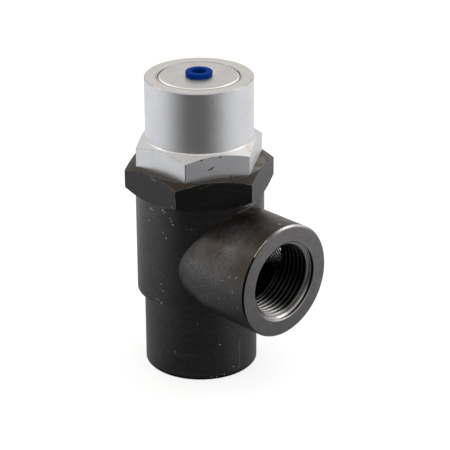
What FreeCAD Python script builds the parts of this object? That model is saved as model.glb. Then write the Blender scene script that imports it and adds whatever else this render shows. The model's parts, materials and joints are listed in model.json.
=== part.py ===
"""Minimum pressure valve for a screw air compressor, with G1 inlet and outlet and a G1/4 gauge port.

Millimetres. The origin is the centre of the inlet face, +Z runs up the valve axis and +X runs out
through the outlet port. The valve is drawn shut, as it stands with no air in it.

Air comes up through the inlet and lifts the check disc off its seat. The piston rides on the disc
and is held down by the main spring, so nothing passes below the set pressure. When the flow stops,
the disc drops back on its seat while the line pressure still holds the piston up. The plug in the
cap sets the spring, and a push-in cartridge in the plug takes the tube that vents the spring space.
"""
import FreeCAD, Part
import Sketcher
import math
import os
import re

DRIVING = [
    # pipe connections
    ("port_thread", 33.249, "outer diameter of the G1 tapped bores"),
    ("port_flare", 0.73, "how far the countersinks open beyond the thread"),
    ("port_wall", 7.376, "wall round the tapped bores"),
    ("thread_depth", 20.0, "depth of the tapped bores"),
    ("outlet_bore", 30.0, "bore behind the outlet thread"),
    ("outlet_reach", 50.0, "valve axis to outlet face"),
    ("outlet_edge", 0.6, "edge break round the outlet face"),
    ("gauge_thread", 13.157, "outer diameter of the G1/4 tapped bore in the outlet's far side"),
    ("gauge_flare", 0.4, "how far its countersink opens beyond the thread"),
    ("gauge_setback", 23.4, "outlet face to the axis of that bore"),
    ("gauge_reach", 27.0, "outlet axis to the face of the pad round that bore"),
    ("gauge_pad", 20.0, "diameter of that pad"),
    # body
    ("barrel_dia", 54.0, "turned barrel of the body"),
    ("barrel_wall", 6.5, "barrel wall round the chamber"),
    ("barrel_edge", 0.4, "edge breaks on the body"),
    ("spigot_height", 34.0, "inlet face to the step under the barrel"),
    ("seat_step", 4.0, "guide bore to the passage through the seat, on the radius"),
    ("seat_web", 9.0, "metal between inlet thread and chamber floor"),
    ("lip_height", 4.0, "seat lip above the chamber floor"),
    ("lip_entry", 0.5, "edge break inside the seat lip"),
    ("lip_land", 1.0, "width of the flat that seals"),
    ("lip_flank", 2.0, "spread of the lip towards its root"),
    ("outlet_rise", 19.5, "seat to outlet axis"),
    ("outlet_cover", 3.5, "outlet bore to the shoulder for the cap"),
    ("pilot_step", 1.0, "chamber to cap pilot, on the radius"),
    ("pilot_depth", 9.0, "length of the cap pilot bore"),
    ("screw_step", 1.0, "pilot to screw thread, on the radius"),
    ("cap_screw_depth", 12.0, "length of the M45 thread"),
    ("body_hex_step", 1.0, "body hexagon across flats beyond the barrel"),
    ("body_hex_height", 12.5, "height of the body hexagon"),
    ("body_hex_clock", -1.5, "turn of the body hexagon against the outlet, degrees"),
    ("hex_slope", 30.0, "slope of the hexagon chamfers, degrees"),
    # cap
    ("cap_hex_step", 2.6, "cap hexagon across flats beyond the cap barrel"),
    ("cap_hex_height", 10.4, "height of the cap hexagon"),
    ("cap_hex_clock", 4.5, "turn of the cap hexagon when screwed home, degrees"),
    ("cap_foot", 0.5, "cove between the cap's hexagon and its barrel"),
    ("cap_rim", 5.5, "wall of the cap round the plug thread"),
    ("cap_edge", 0.4, "edge breaks on the cap"),
    ("skirt_wall", 4.5, "wall of the cap skirt"),
    ("skirt_gap", 0.3, "skirt end to body shoulder"),
    ("nose_step", 0.2, "stop bore to the bore for the plug's nose, on the radius"),
    ("plug_screw_step", 1.0, "that bore to the plug thread, on the radius"),
    ("stop_step", 1.2, "inward step that stops the piston"),
    ("stop_land", 6.3, "length of the stop bore"),
    # check disc
    ("disc_thickness", 4.0, "plate of the check disc"),
    ("disc_rim", 1.2, "rim of the check disc round its seal"),
    ("disc_edge", 0.5, "edge breaks on the check disc"),
    ("seal_thickness", 3.0, "rubber face seal"),
    ("seal_reach", 1.0, "seal standing out below the disc rim"),
    ("seal_margin", 1.0, "seal beyond the sealing flat"),
    ("seal_hub", 12.0, "hub that the seal sits on"),
    ("washer_gap", 1.5, "seal washer to seat passage, on the radius"),
    ("washer_thickness", 1.8, "seal washer"),
    ("screw_dia", 6.0, "seal screw"),
    ("screw_head_dia", 10.0, "head of the seal screw"),
    ("screw_head_height", 5.0, "height of the screw head"),
    ("screw_key", 5.0, "hexagon key of the screw, across flats"),
    ("screw_key_depth", 3.0, "depth of the key socket"),
    ("screw_grip", 12.0, "thread of the screw inside the disc"),
    ("stem_dia", 10.0, "stem of the check disc"),
    ("stem_length", 26.0, "stem above the disc"),
    ("stem_edge", 0.6, "lead on the end of the stem"),
    ("pocket_dia", 7.0, "pocket for the check spring"),
    ("pocket_depth", 14.0, "depth of that pocket"),
    # piston
    ("valve_lift", 7.0, "lift of the check disc"),
    ("piston_lead", 3.0, "piston travel beyond the disc"),
    ("end_gap", 0.2, "room left at the end of a travel"),
    ("piston_inset", 2.0, "piston floor above the body shoulder"),
    ("piston_floor", 4.0, "thickness of the piston floor"),
    ("piston_skirt", 16.0, "piston skirt above its floor"),
    ("piston_gap", 0.25, "piston to guide bore, on the radius"),
    ("piston_wall", 1.85, "wall of the piston skirt"),
    ("piston_edge", 0.5, "edge breaks on the piston"),
    ("neck_dia", 18.0, "neck of the piston"),
    ("neck_root", 3.0, "cone between neck and floor"),
    ("stem_play", 0.3, "stem to bore in the piston, on the radius"),
    ("bore_end", 1.0, "stem bore above the spring floor"),
    ("spring_boss", 6.0, "height of the boss inside the main spring"),
    ("vent_dia", 2.0, "cross hole that lets the stem bore breathe"),
    ("vent_drop", 3.0, "cross hole below the piston floor"),
    ("bush_wall", 1.94, "wall of the stem bush"),
    ("bush_length", 14.0, "length of the stem bush"),
    ("bush_inset", 0.5, "bush end above the neck end"),
    ("bush_play", 0.06, "stem to bush, on the radius"),
    ("ring_width", 5.0, "piston guide ring"),
    ("ring_thickness", 1.0, "piston guide ring"),
    ("ring_drop", 2.0, "guide ring below the skirt end"),
    ("ring_play", 0.05, "guide ring to guide bore, on the radius"),
    # springs
    ("main_wire", 3.2, "wire of the main spring"),
    ("main_play", 0.3, "main spring to piston skirt, on the radius"),
    ("main_turns", 3.5, "working turns of the main spring"),
    ("boss_play", 0.6, "main spring to its centring bosses, on the radius"),
    ("check_wire", 0.9, "wire of the check spring"),
    ("check_play", 0.3, "check spring to its pocket, on the radius"),
    ("check_turns", 6.5, "working turns of the check spring"),
    ("ground_tip", 0.25, "wire left at the ground tip of a spring, as a share"),
    # setting plug and spring plate
    ("plate_thickness", 3.0, "flange of the spring plate"),
    ("plate_boss", 6.0, "boss below that flange"),
    ("plate_play", 0.4, "spring plate to stop bore, on the radius"),
    ("adjust_travel", 3.0, "screwing-in of the setting plug, two turns"),
    ("adjust_gap", 0.5, "room left below the plug at that travel"),
    ("nose_length", 8.2, "plain nose of the plug"),
    ("plug_screw_depth", 7.2, "length of the M34 thread on the plug"),
    ("plug_land", 2.0, "plain land above that thread"),
    ("plug_gap", 0.3, "that land to the thread's outer diameter, on the radius"),
    ("plug_edge", 0.6, "bevel round the top of the plug"),
    ("nose_play", 0.05, "plug nose to its bore, on the radius"),
    ("thread_play", 0.05, "screw threads, on the radius"),
    ("vent_bore", 4.0, "air passage through plug and plate"),
    # push-in cartridge for the vent tube
    ("tube_dia", 6.0, "vent tube"),
    ("tube_play", 0.05, "release sleeve to tube, on the radius"),
    ("tube_stop", 1.5, "tube end inside the plug"),
    ("cartridge_dia", 11.0, "recess for the cartridge"),
    ("cartridge_depth", 12.0, "depth of that recess"),
    ("press_gap", 0.02, "cartridge pieces to the recess, on the radius"),
    ("backup_height", 0.85, "backup ring"),
    ("backup_floor", 0.4, "floor of the backup ring"),
    ("grab_thickness", 0.4, "steel grab ring"),
    ("grab_land", 0.85, "flat rim of the grab ring"),
    ("grab_dish", 0.4, "how far its teeth lean inwards and down"),
    ("grab_slot", 0.9, "width of the gaps between the teeth"),
    ("grab_teeth", 8.0, "number of teeth"),
    ("collar_height", 6.5, "collar that holds the cartridge together"),
    ("collar_wall", 0.85, "collar round the sleeve's bead"),
    ("collar_catch", 4.1, "collar above the bead of the sleeve"),
    ("stack_gap", 0.05, "room between the stacked cartridge pieces"),
    ("sleeve_wall", 0.9, "wall of the release sleeve"),
    ("sleeve_bead", 0.45, "retaining bead on the sleeve"),
    ("bead_height", 1.5, "height of that bead"),
    ("sleeve_travel", 0.8, "push on the release sleeve"),
    ("sleeve_slack", 0.2, "sleeve to recess at its shoulder, on the radius"),
    ("shoulder_sink", 0.6, "sleeve shoulder below the plug face"),
    ("shoulder_rise", 1.05, "sleeve shoulder above the plug face"),
    ("sleeve_flange", 0.95, "flange of the release sleeve"),
    ("flange_overhang", 0.3, "flange beyond the shoulder"),
    ("sleeve_edge", 0.3, "edge breaks on the sleeve"),
    # O-rings: section and the share of it that is squeezed out
    ("cap_ring", 2.65, "section of the cap O-ring"),
    ("piston_ring", 1.8, "section of the piston O-ring"),
    ("plug_ring", 1.8, "section of the plug O-ring"),
    ("tube_ring", 2.4, "section of the tube O-ring"),
    ("squeeze", 0.8, "height left of a squeezed section, as a share"),
    ("swell", 1.15, "width of a squeezed O-ring over its section, as a share"),
    ("groove_room", 1.35, "groove width over ring section, as a share"),
    ("seal_gap", 0.02, "O-rings to the metal that squeezes them"),
]

DERIVED = [
    # diameters, from the outside in
    ("boss_dia", "port_thread + 2 * port_wall"),
    ("body_hex_flats", "barrel_dia + body_hex_step"),
    ("body_hex_corners", "body_hex_flats / cos(30)"),
    ("chamber_dia", "barrel_dia - 2 * barrel_wall"),
    ("pilot_dia", "chamber_dia + 2 * pilot_step"),
    ("cap_screw_dia", "pilot_dia + 2 * screw_step"),
    ("guide_dia", "pilot_dia - 2 * skirt_wall"),
    ("seat_bore", "guide_dia - 2 * seat_step"),
    ("stop_dia", "guide_dia - 2 * stop_step"),
    ("nose_bore_dia", "stop_dia + 2 * nose_step"),
    ("plug_screw_dia", "nose_bore_dia + 2 * plug_screw_step"),
    ("cap_dia", "plug_screw_dia + 2 * cap_rim"),
    ("cap_hex_flats", "cap_dia + cap_hex_step"),
    ("cap_hex_corners", "cap_hex_flats / cos(30)"),
    ("lip_inside", "seat_bore + 2 * lip_entry"),
    ("lip_outside", "lip_inside + 2 * lip_land"),
    ("seal_dia", "lip_outside + 2 * seal_margin"),
    ("seal_seat", "seal_dia + 2 * stack_gap"),
    ("disc_dia", "seal_seat + 2 * disc_rim"),
    ("washer_dia", "seat_bore - 2 * washer_gap"),
    ("piston_dia", "guide_dia - 2 * piston_gap"),
    ("piston_inside", "piston_dia - 2 * piston_wall"),
    ("stem_bore", "stem_dia + 2 * stem_play"),
    ("bush_inside", "stem_dia + 2 * bush_play"),
    ("bush_dia", "bush_inside + 2 * bush_wall"),
    ("ring_dia", "guide_dia - 2 * ring_play"),
    ("main_dia", "piston_inside - 2 * main_play - main_wire"),
    ("boss_in_spring", "main_dia - main_wire - 2 * boss_play"),
    ("check_dia", "pocket_dia - 2 * check_play - check_wire"),
    ("plate_dia", "stop_dia - 2 * plate_play"),
    ("nose_dia", "nose_bore_dia - 2 * nose_play"),
    ("tube_way", "tube_dia + 2 * tube_play"),
    ("sleeve_dia", "tube_way + 2 * sleeve_wall"),
    ("bead_dia", "sleeve_dia + 2 * sleeve_bead"),
    ("stack_dia", "cartridge_dia - 2 * press_gap"),
    ("shoulder_dia", "cartridge_dia - 2 * sleeve_slack"),
    ("flange_dia", "shoulder_dia + 2 * flange_overhang"),
    # heights, from the inlet face up
    ("floor_z", "thread_depth + seat_web"),
    ("seat_z", "floor_z + lip_height"),
    ("outlet_z", "seat_z + outlet_rise"),
    ("gauge_x", "outlet_reach - gauge_setback"),
    ("shoulder_z", "outlet_z + outlet_bore / 2 + outlet_cover"),
    ("pilot_z", "shoulder_z + pilot_depth"),
    ("body_top_z", "pilot_z + cap_screw_depth"),
    ("disc_rim_z", "seat_z + seal_reach"),
    ("disc_plate_z", "seat_z + seal_thickness"),
    ("disc_top_z", "disc_plate_z + disc_thickness"),
    ("stem_top_z", "disc_top_z + stem_length"),
    ("pocket_z", "stem_top_z - pocket_depth"),
    ("washer_z", "seat_z - washer_thickness"),
    ("screw_head_z", "washer_z - screw_head_height"),
    ("piston_floor_z", "shoulder_z + piston_inset"),
    ("spring_z", "piston_floor_z + piston_floor"),
    ("bore_end_z", "spring_z + bore_end"),
    ("piston_top_z", "spring_z + piston_skirt"),
    ("stop_z", "piston_top_z + valve_lift + piston_lead + end_gap"),
    ("nose_bore_z", "stop_z + stop_land"),
    ("nose_z", "nose_bore_z + adjust_travel + adjust_gap"),
    ("plate_z", "nose_z - plate_thickness"),
    ("plug_screw_z", "nose_z + nose_length"),
    ("cap_thread_z", "plug_screw_z - adjust_travel - end_gap"),
    ("top_z", "plug_screw_z + plug_screw_depth"),
    ("cartridge_z", "top_z - cartridge_depth"),
    ("backup_z", "cartridge_z + tube_ring + 2 * stack_gap"),
    ("grab_z", "backup_z + backup_height + stack_gap"),
    ("collar_z", "grab_z + grab_thickness + stack_gap"),
    ("catch_z", "collar_z + collar_height - collar_catch"),
    ("bead_z", "catch_z - stack_gap - bead_height"),
    ("shoulder_low_z", "top_z - shoulder_sink"),
    ("flange_z", "top_z + shoulder_rise"),
    ("sleeve_top_z", "flange_z + sleeve_flange"),
    # O-ring grooves: depth and width, and the width of the squeezed rings
    ("cap_groove", "cap_ring * squeeze"),
    ("cap_ring_width", "cap_ring * swell"),
    ("cap_groove_width", "cap_ring * groove_room"),
    ("cap_groove_z", "shoulder_z + pilot_depth / 2"),
    ("piston_groove", "piston_ring * squeeze"),
    ("piston_ring_width", "piston_ring * swell"),
    ("piston_groove_width", "piston_ring * groove_room"),
    ("piston_groove_z", "piston_floor_z + piston_floor / 2"),
    ("plug_groove", "plug_ring * squeeze"),
    ("plug_ring_width", "plug_ring * swell"),
    ("plug_groove_width", "plug_ring * groove_room"),
    ("plug_groove_z", "nose_z + plug_groove_width"),
    ("ring_top_z", "piston_top_z - ring_drop"),
    ("ring_groove_dia", "ring_dia - 2 * ring_thickness"),
]

doc = FreeCAD.newDocument("minimum_pressure_valve")


def driving_sheet():
    """Put the driving dimensions in a spreadsheet, one aliased cell each."""
    sheet = doc.addObject("Spreadsheet::Sheet", "sizes")
    for row, (name, value, meaning) in enumerate(DRIVING, 1):
        sheet.set(f"A{row}", name)
        sheet.set(f"B{row}", str(value))
        sheet.set(f"C{row}", meaning)
        sheet.setAlias(f"B{row}", name)
    doc.recompute()
    return sheet


def bound(expression):
    """Write each size in an expression with the object that holds it."""
    return re.sub(r"[a-z][a-z_]*", lambda word: owner.get(word.group(), word.group()), expression)


def derived_places():
    """Work the other diameters and heights out, each as a property with its own expression."""
    holder = doc.addObject("App::VarSet", "places")
    for name, expression in DERIVED:
        holder.addProperty("App::PropertyFloat", name, "Places")
        holder.setExpression(name, bound(expression))
        owner[name] = f"places.{name}"
    doc.recompute()
    return holder


sizes = driving_sheet()
owner = {name: f"sizes.{name}" for name, _, _ in DRIVING}
places = derived_places()


def number(expression):
    """The present value of an expression."""
    return float(places.evalExpression(bound(expression)))


def new_body(label):
    body = doc.addObject("PartDesign::Body", "Body_" + label)
    body.Label = label
    return body


def new_sketch(body, name, plane, along="0", across="0", turn="0"):
    """A sketch on a plane of its body's origin: across is along the sketch's own Y, along its normal."""
    sketch = body.newObject("Sketcher::SketchObject", name)
    face = [item for item in body.Origin.OriginFeatures if item.Role == plane + "_Plane"]
    sketch.AttachmentSupport = (face[0], [""])
    sketch.MapMode = "FlatFace"
    if along != "0":
        sketch.setExpression("AttachmentOffset.Base.z", bound(along))
    if across != "0":
        sketch.setExpression("AttachmentOffset.Base.y", bound(across))
    if turn != "0":
        turned = FreeCAD.Rotation(FreeCAD.Vector(0, 0, 1), number(turn))
        sketch.AttachmentOffset = FreeCAD.Placement(FreeCAD.Vector(), turned)
        sketch.setExpression("AttachmentOffset.Rotation.Angle", bound(turn))
    return sketch


def outline(sketch, corners):
    """A closed outline of straight sides, each corner held at its two expressions."""
    points = [FreeCAD.Vector(number(x), number(y), 0) for x, y in corners]
    count = len(points)
    for index in range(count):
        sketch.addGeometry(Part.LineSegment(points[index], points[(index + 1) % count]), False)
    for index in range(count):
        joined = Sketcher.Constraint("Coincident", index, 2, (index + 1) % count, 1)
        sketch.addConstraint(joined)
    for index, (x, y) in enumerate(corners):
        hold(sketch, index, "DistanceX", x, -2)
        hold(sketch, index, "DistanceY", y, -1)
    return sketch


def hold(sketch, index, kind, expression, axis):
    """Hold a line's first point at a distance from the sketch's origin, or on an axis for 0."""
    if expression == "0":
        sketch.addConstraint(Sketcher.Constraint("PointOnObject", index, 1, axis))
        return
    held = Sketcher.Constraint(kind, -1, 1, index, 1, number(expression))
    place = sketch.addConstraint(held)
    sketch.setExpression(f"Constraints[{place}]", bound(expression))


def hexagon(sketch, corners):
    """A regular hexagon round the sketch's origin with one corner on its X axis."""
    radius = number(corners) / 2
    centre = FreeCAD.Vector(0, 0, 0)
    up = FreeCAD.Vector(0, 0, 1)
    tips = [FreeCAD.Rotation(up, 60 * side).multVec(FreeCAD.Vector(radius, 0, 0)) for side in range(6)]
    for side in range(6):
        sketch.addGeometry(Part.LineSegment(tips[side], tips[(side + 1) % 6]), False)
    ring = sketch.addGeometry(Part.Circle(centre, up, radius), True)
    sketch.addConstraint(Sketcher.Constraint("Coincident", ring, 3, -1, 1))
    size = sketch.addConstraint(Sketcher.Constraint("Radius", ring, radius))
    sketch.setExpression(f"Constraints[{size}]", bound(f"({corners}) / 2"))
    for side in range(6):
        sketch.addConstraint(Sketcher.Constraint("Coincident", side, 2, (side + 1) % 6, 1))
        sketch.addConstraint(Sketcher.Constraint("PointOnObject", side, 1, ring))
    for side in range(1, 6):
        sketch.addConstraint(Sketcher.Constraint("Equal", 0, side))
    sketch.addConstraint(Sketcher.Constraint("PointOnObject", 0, 1, -1))
    return sketch


def turned(body, name, corners, kind="Revolution", across="0", axis="V_Axis", plane="XZ", along="0"):
    """Turn an outline of (radius, height) corners round the valve axis, or cut it as a Groove."""
    sketch = outline(new_sketch(body, name + "_sketch", plane, along, across), corners)
    feature = body.newObject("PartDesign::" + kind, name)
    feature.Profile = sketch
    feature.ReferenceAxis = (sketch, [axis])
    feature.Angle = 360
    sketch.Visibility = False
    return feature


def turned_on_outlet(body, name, corners, kind="Revolution"):
    """The same round the outlet axis, with (distance from the valve axis, radius) corners."""
    return turned(body, name, corners, kind, across="outlet_z", axis="H_Axis")


def turned_on_gauge(body, name, corners, kind="Revolution"):
    """The same round the gauge port's axis, with (distance from the outlet axis, radius) corners."""
    return turned(body, name, corners, kind, "outlet_z", "H_Axis", "YZ", "gauge_x")


def raised(body, name, sketch, length):
    pad = body.newObject("PartDesign::Pad", name)
    pad.Profile = sketch
    pad.setExpression("Length", bound(length))
    return pad


def sunk(body, name, sketch, length, reversed_way=False):
    pocket = body.newObject("PartDesign::Pocket", name)
    pocket.Profile = sketch
    pocket.setExpression("Length", bound(length))
    pocket.Reversed = reversed_way
    return pocket


def hex_chamfer(body, name, edge_dia, corners, height, away):
    """Cut the corners of a hexagon to a cone that starts at edge_dia; away is 1 up or -1 down."""
    out = f"({corners}) / 2 + 1"
    rise = f"({out} - ({edge_dia}) / 2) * tan(hex_slope) * {away}"
    start = (f"({edge_dia}) / 2", height)
    return turned(body, name, [start, (out, height), (out, f"{height} - {rise}")], "Groove")


def o_ring(label, inner, outer, width, height):
    """An O-ring between two radii: flat lands where the metal squeezes it, sloping flanks between."""
    body = new_body(label)
    middle = f"({inner} + {outer}) / 2"
    half = f"(({outer} - ({inner})) / 2 - seal_gap)"
    turned(body, "ring", [
        (f"{middle} + {half}", f"{height} - {width} / 4"),
        (f"{middle} + {half}", f"{height} + {width} / 4"),
        (f"{middle} + {half} / 2", f"{height} + {width} / 2"),
        (f"{middle} - {half} / 2", f"{height} + {width} / 2"),
        (f"{middle} - {half}", f"{height} + {width} / 4"),
        (f"{middle} - {half}", f"{height} - {width} / 4"),
        (f"{middle} - {half} / 2", f"{height} - {width} / 2"),
        (f"{middle} + {half} / 2", f"{height} - {width} / 2"),
    ])
    return body


def coil_spring(label, mean_dia, wire, low, high, turns, runs, sides):
    """A compression spring between two heights, with one closed and ground turn at each end.

    Its wire is a row of straight runs, so many to the turn, with a section of so many sides.
    """
    mean = number(mean_dia) / 2
    thick = number(wire)
    whole = number(turns) + 2
    closed_rise = thick + number("stack_gap")
    tip = number(low) - thick / 2 + thick * number("ground_tip")
    last_tip = number(high) + thick / 2 - thick * number("ground_tip")
    open_rise = (last_tip - tip - 2 * closed_rise) / number(turns)

    def centre(turn):
        """The wire's centre after so many turns from its lower tip."""
        rise = min(turn, 1) * closed_rise + min(max(turn - 1, 0), number(turns)) * open_rise
        rise += max(turn - whole + 1, 0) * closed_rise
        return FreeCAD.Vector(mean * math.cos(math.tau * turn), mean * math.sin(math.tau * turn), tip + rise)

    points = [centre(step / runs) for step in range(round(whole * runs) + 1)]
    along = (points[1] - points[0]).normalize()
    section = Part.Circle(points[0], along, thick / 2)
    corners = [section.value(math.tau * side / sides) for side in range(sides)]
    profile = Part.makePolygon(corners + corners[:1])
    coils = Part.makePolygon(points).makePipeShell([profile], True, False, 1)
    room = Part.makeCylinder(mean + thick, number(high) - number(low), FreeCAD.Vector(0, 0, number(low)))
    spring = doc.addObject("Part::Feature", label)
    spring.Label = label
    spring.Shape = coils.common(room)
    return spring


def valve_body():
    """Turned from hexagon bar: spigot, barrel, hexagon and the outlet boss, then bored out.

    The outlet boss also has a pad with a tapped bore for a pressure gauge, on its +Y side.
    """
    body = new_body("valve_body")
    spigot = "boss_dia / 2"
    barrel = "barrel_dia / 2"
    turned(body, "barrel", [
        ("0", "0"),
        (f"{spigot} - barrel_edge", "0"),
        (spigot, "barrel_edge"),
        (spigot, "spigot_height"),
        (f"{barrel} - barrel_edge", "spigot_height"),
        (barrel, "spigot_height + barrel_edge"),
        (barrel, "body_top_z - body_hex_height / 2"),
        ("0", "body_top_z - body_hex_height / 2"),
    ])
    flats = new_sketch(body, "hex_sketch", "XY", along="body_top_z - body_hex_height", turn="body_hex_clock")
    raised(body, "hex", hexagon(flats, "body_hex_corners"), "body_hex_height")
    hex_chamfer(body, "hex_top", "body_hex_flats", "body_hex_corners", "body_top_z", 1)
    hex_chamfer(body, "hex_foot", "body_hex_flats", "body_hex_corners", "body_top_z - body_hex_height", -1)
    turned_on_outlet(body, "outlet_boss", [
        ("0", "0"),
        ("outlet_reach", "0"),
        ("outlet_reach", "boss_dia / 2 - outlet_edge"),
        ("outlet_reach - outlet_edge", "boss_dia / 2"),
        ("0", "boss_dia / 2"),
    ])
    turned_on_gauge(body, "gauge_pad", [
        ("0", "0"),
        ("gauge_reach", "0"),
        ("gauge_reach", "gauge_pad / 2 - outlet_edge"),
        ("gauge_reach - outlet_edge", "gauge_pad / 2"),
        ("0", "gauge_pad / 2"),
    ])
    lip = "lip_outside / 2"
    turned(body, "inside", [
        ("0", "0"),
        ("port_thread / 2 + port_flare", "0"),
        ("port_thread / 2", "port_flare"),
        ("port_thread / 2", "thread_depth"),
        ("seat_bore / 2", "thread_depth + (port_thread - seat_bore) / 2 * tan(30)"),
        ("seat_bore / 2", "seat_z - lip_entry"),
        ("lip_inside / 2", "seat_z"),
        (lip, "seat_z"),
        (f"{lip} + lip_flank", "floor_z"),
        ("chamber_dia / 2", "floor_z"),
        ("chamber_dia / 2", "shoulder_z"),
        ("pilot_dia / 2", "shoulder_z"),
        ("pilot_dia / 2", "pilot_z"),
        ("cap_screw_dia / 2", "pilot_z + screw_step"),
        ("cap_screw_dia / 2", "body_top_z"),
        ("0", "body_top_z"),
    ], "Groove")
    turned_on_outlet(body, "outlet", [
        ("0", "0"),
        ("outlet_reach", "0"),
        ("outlet_reach", "port_thread / 2 + port_flare"),
        ("outlet_reach - port_flare", "port_thread / 2"),
        ("outlet_reach - thread_depth", "port_thread / 2"),
        ("outlet_reach - thread_depth - (port_thread - outlet_bore) / 2", "outlet_bore / 2"),
        ("0", "outlet_bore / 2"),
    ], "Groove")
    turned_on_gauge(body, "gauge_port", [
        ("0", "0"),
        ("gauge_reach", "0"),
        ("gauge_reach", "gauge_thread / 2 + gauge_flare"),
        ("gauge_reach - gauge_flare", "gauge_thread / 2"),
        ("0", "gauge_thread / 2"),
    ], "Groove")
    return body


def spring_cap():
    """Hexagon and barrel above the body, a screwed skirt below that guides the piston."""
    body = new_body("spring_cap")
    pilot = "pilot_dia / 2 - thread_play"
    screw = "cap_screw_dia / 2 - thread_play"
    turned(body, "outside", [
        ("0", "shoulder_z + skirt_gap"),
        (f"{pilot} - cap_edge", "shoulder_z + skirt_gap"),
        (pilot, "shoulder_z + skirt_gap + cap_edge"),
        (pilot, "pilot_z"),
        (screw, "pilot_z + screw_step + 2 * thread_play"),
        (screw, "body_top_z + cap_hex_height / 2"),
        ("cap_dia / 2 + cap_foot", "body_top_z + cap_hex_height / 2"),
        ("cap_dia / 2 + cap_foot", "body_top_z + cap_hex_height"),
        ("cap_dia / 2", "body_top_z + cap_hex_height + cap_foot"),
        ("cap_dia / 2", "top_z - cap_edge"),
        ("cap_dia / 2 - cap_edge", "top_z"),
        ("0", "top_z"),
    ])
    flats = new_sketch(body, "hex_sketch", "XY", along="body_top_z", turn="cap_hex_clock")
    raised(body, "hex", hexagon(flats, "cap_hex_corners"), "cap_hex_height")
    foot = "cap_dia + 2 * cap_foot"
    hex_chamfer(body, "hex_top", foot, "cap_hex_corners", "body_top_z + cap_hex_height", 1)
    turned(body, "inside", [
        ("0", "shoulder_z"),
        ("guide_dia / 2 + cap_edge", "shoulder_z"),
        ("guide_dia / 2 + cap_edge", "shoulder_z + skirt_gap"),
        ("guide_dia / 2", "shoulder_z + skirt_gap + cap_edge"),
        ("guide_dia / 2", "stop_z"),
        ("stop_dia / 2", "stop_z"),
        ("stop_dia / 2", "nose_bore_z"),
        ("nose_bore_dia / 2", "nose_bore_z"),
        ("nose_bore_dia / 2", "cap_thread_z"),
        ("plug_screw_dia / 2", "cap_thread_z"),
        ("plug_screw_dia / 2", "top_z - cap_edge / 2"),
        ("plug_screw_dia / 2 + cap_edge / 2", "top_z"),
        ("0", "top_z"),
    ], "Groove")
    o_ring_groove(body, "pilot_dia / 2", "cap_groove", "cap_groove_width", "cap_groove_z")
    return body


def o_ring_groove(body, sealed, depth, width, middle):
    """A square groove in a shaft, measured from the bore that the ring seals against."""
    low = f"{middle} - {width} / 2"
    high = f"{middle} + {width} / 2"
    out = f"{sealed} + 1"
    turned(body, "ring_groove", [
        (f"{sealed} - {depth}", low),
        (out, low),
        (out, high),
        (f"{sealed} - {depth}", high),
    ], "Groove")


def check_disc():
    """Disc with a rim round its seal, a hub for the seal and a hollow guide stem."""
    body = new_body("check_disc")
    disc = "disc_dia / 2"
    stem = "stem_dia / 2"
    turned(body, "disc", [
        ("0", "seat_z"),
        ("seal_hub / 2", "seat_z"),
        ("seal_hub / 2", "disc_plate_z"),
        ("seal_seat / 2", "disc_plate_z"),
        ("seal_seat / 2", "disc_rim_z"),
        (f"{disc} - disc_edge", "disc_rim_z"),
        (disc, "disc_rim_z + disc_edge"),
        (disc, "disc_top_z - 2 * disc_edge"),
        (f"{disc} - 2 * disc_edge", "disc_top_z"),
        (stem, "disc_top_z"),
        (stem, "stem_top_z - stem_edge"),
        (f"{stem} - stem_edge", "stem_top_z"),
        ("0", "stem_top_z"),
    ])
    turned(body, "pocket", [
        ("0", "pocket_z"),
        ("pocket_dia / 2", "pocket_z"),
        ("pocket_dia / 2", "stem_top_z"),
        ("0", "stem_top_z"),
    ], "Groove")
    turned(body, "screw_hole", [
        ("0", "seat_z"),
        ("screw_dia / 2", "seat_z"),
        ("screw_dia / 2", "seat_z + screw_grip"),
        ("0", "seat_z + screw_grip + screw_dia / 2 * tan(30)"),
    ], "Groove")
    return body


def disc_seal():
    """Flat rubber ring that closes on the seat lip."""
    body = new_body("disc_seal")
    turned(body, "ring", [
        ("seal_hub / 2 + stack_gap", "seat_z"),
        ("seal_dia / 2", "seat_z"),
        ("seal_dia / 2", "disc_plate_z"),
        ("seal_hub / 2 + stack_gap", "disc_plate_z"),
    ])
    return body


def seal_washer():
    """Clamps the inner part of the seal, inside the seat passage."""
    body = new_body("seal_washer")
    turned(body, "washer", [
        ("screw_dia / 2 + stem_play", "washer_z"),
        ("washer_dia / 2 - disc_edge", "washer_z"),
        ("washer_dia / 2", "washer_z + disc_edge"),
        ("washer_dia / 2", "seat_z"),
        ("screw_dia / 2 + stem_play", "seat_z"),
    ])
    return body


def seal_screw():
    """Socket head screw from below, into the stem."""
    body = new_body("seal_screw")
    head = "screw_head_dia / 2"
    shank = "screw_dia / 2 - press_gap"
    turned(body, "screw", [
        ("0", "screw_head_z"),
        (f"{head} - disc_edge", "screw_head_z"),
        (head, "screw_head_z + disc_edge"),
        (head, "washer_z"),
        (shank, "washer_z"),
        (shank, "seat_z + screw_grip - 2 * disc_edge"),
        (f"{shank} - disc_edge", "seat_z + screw_grip - disc_edge"),
        ("0", "seat_z + screw_grip - disc_edge"),
    ])
    key = hexagon(new_sketch(body, "key_sketch", "XY", along="screw_head_z"), "screw_key / cos(30)")
    sunk(body, "key", key, "screw_key_depth", True)
    return body


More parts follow.
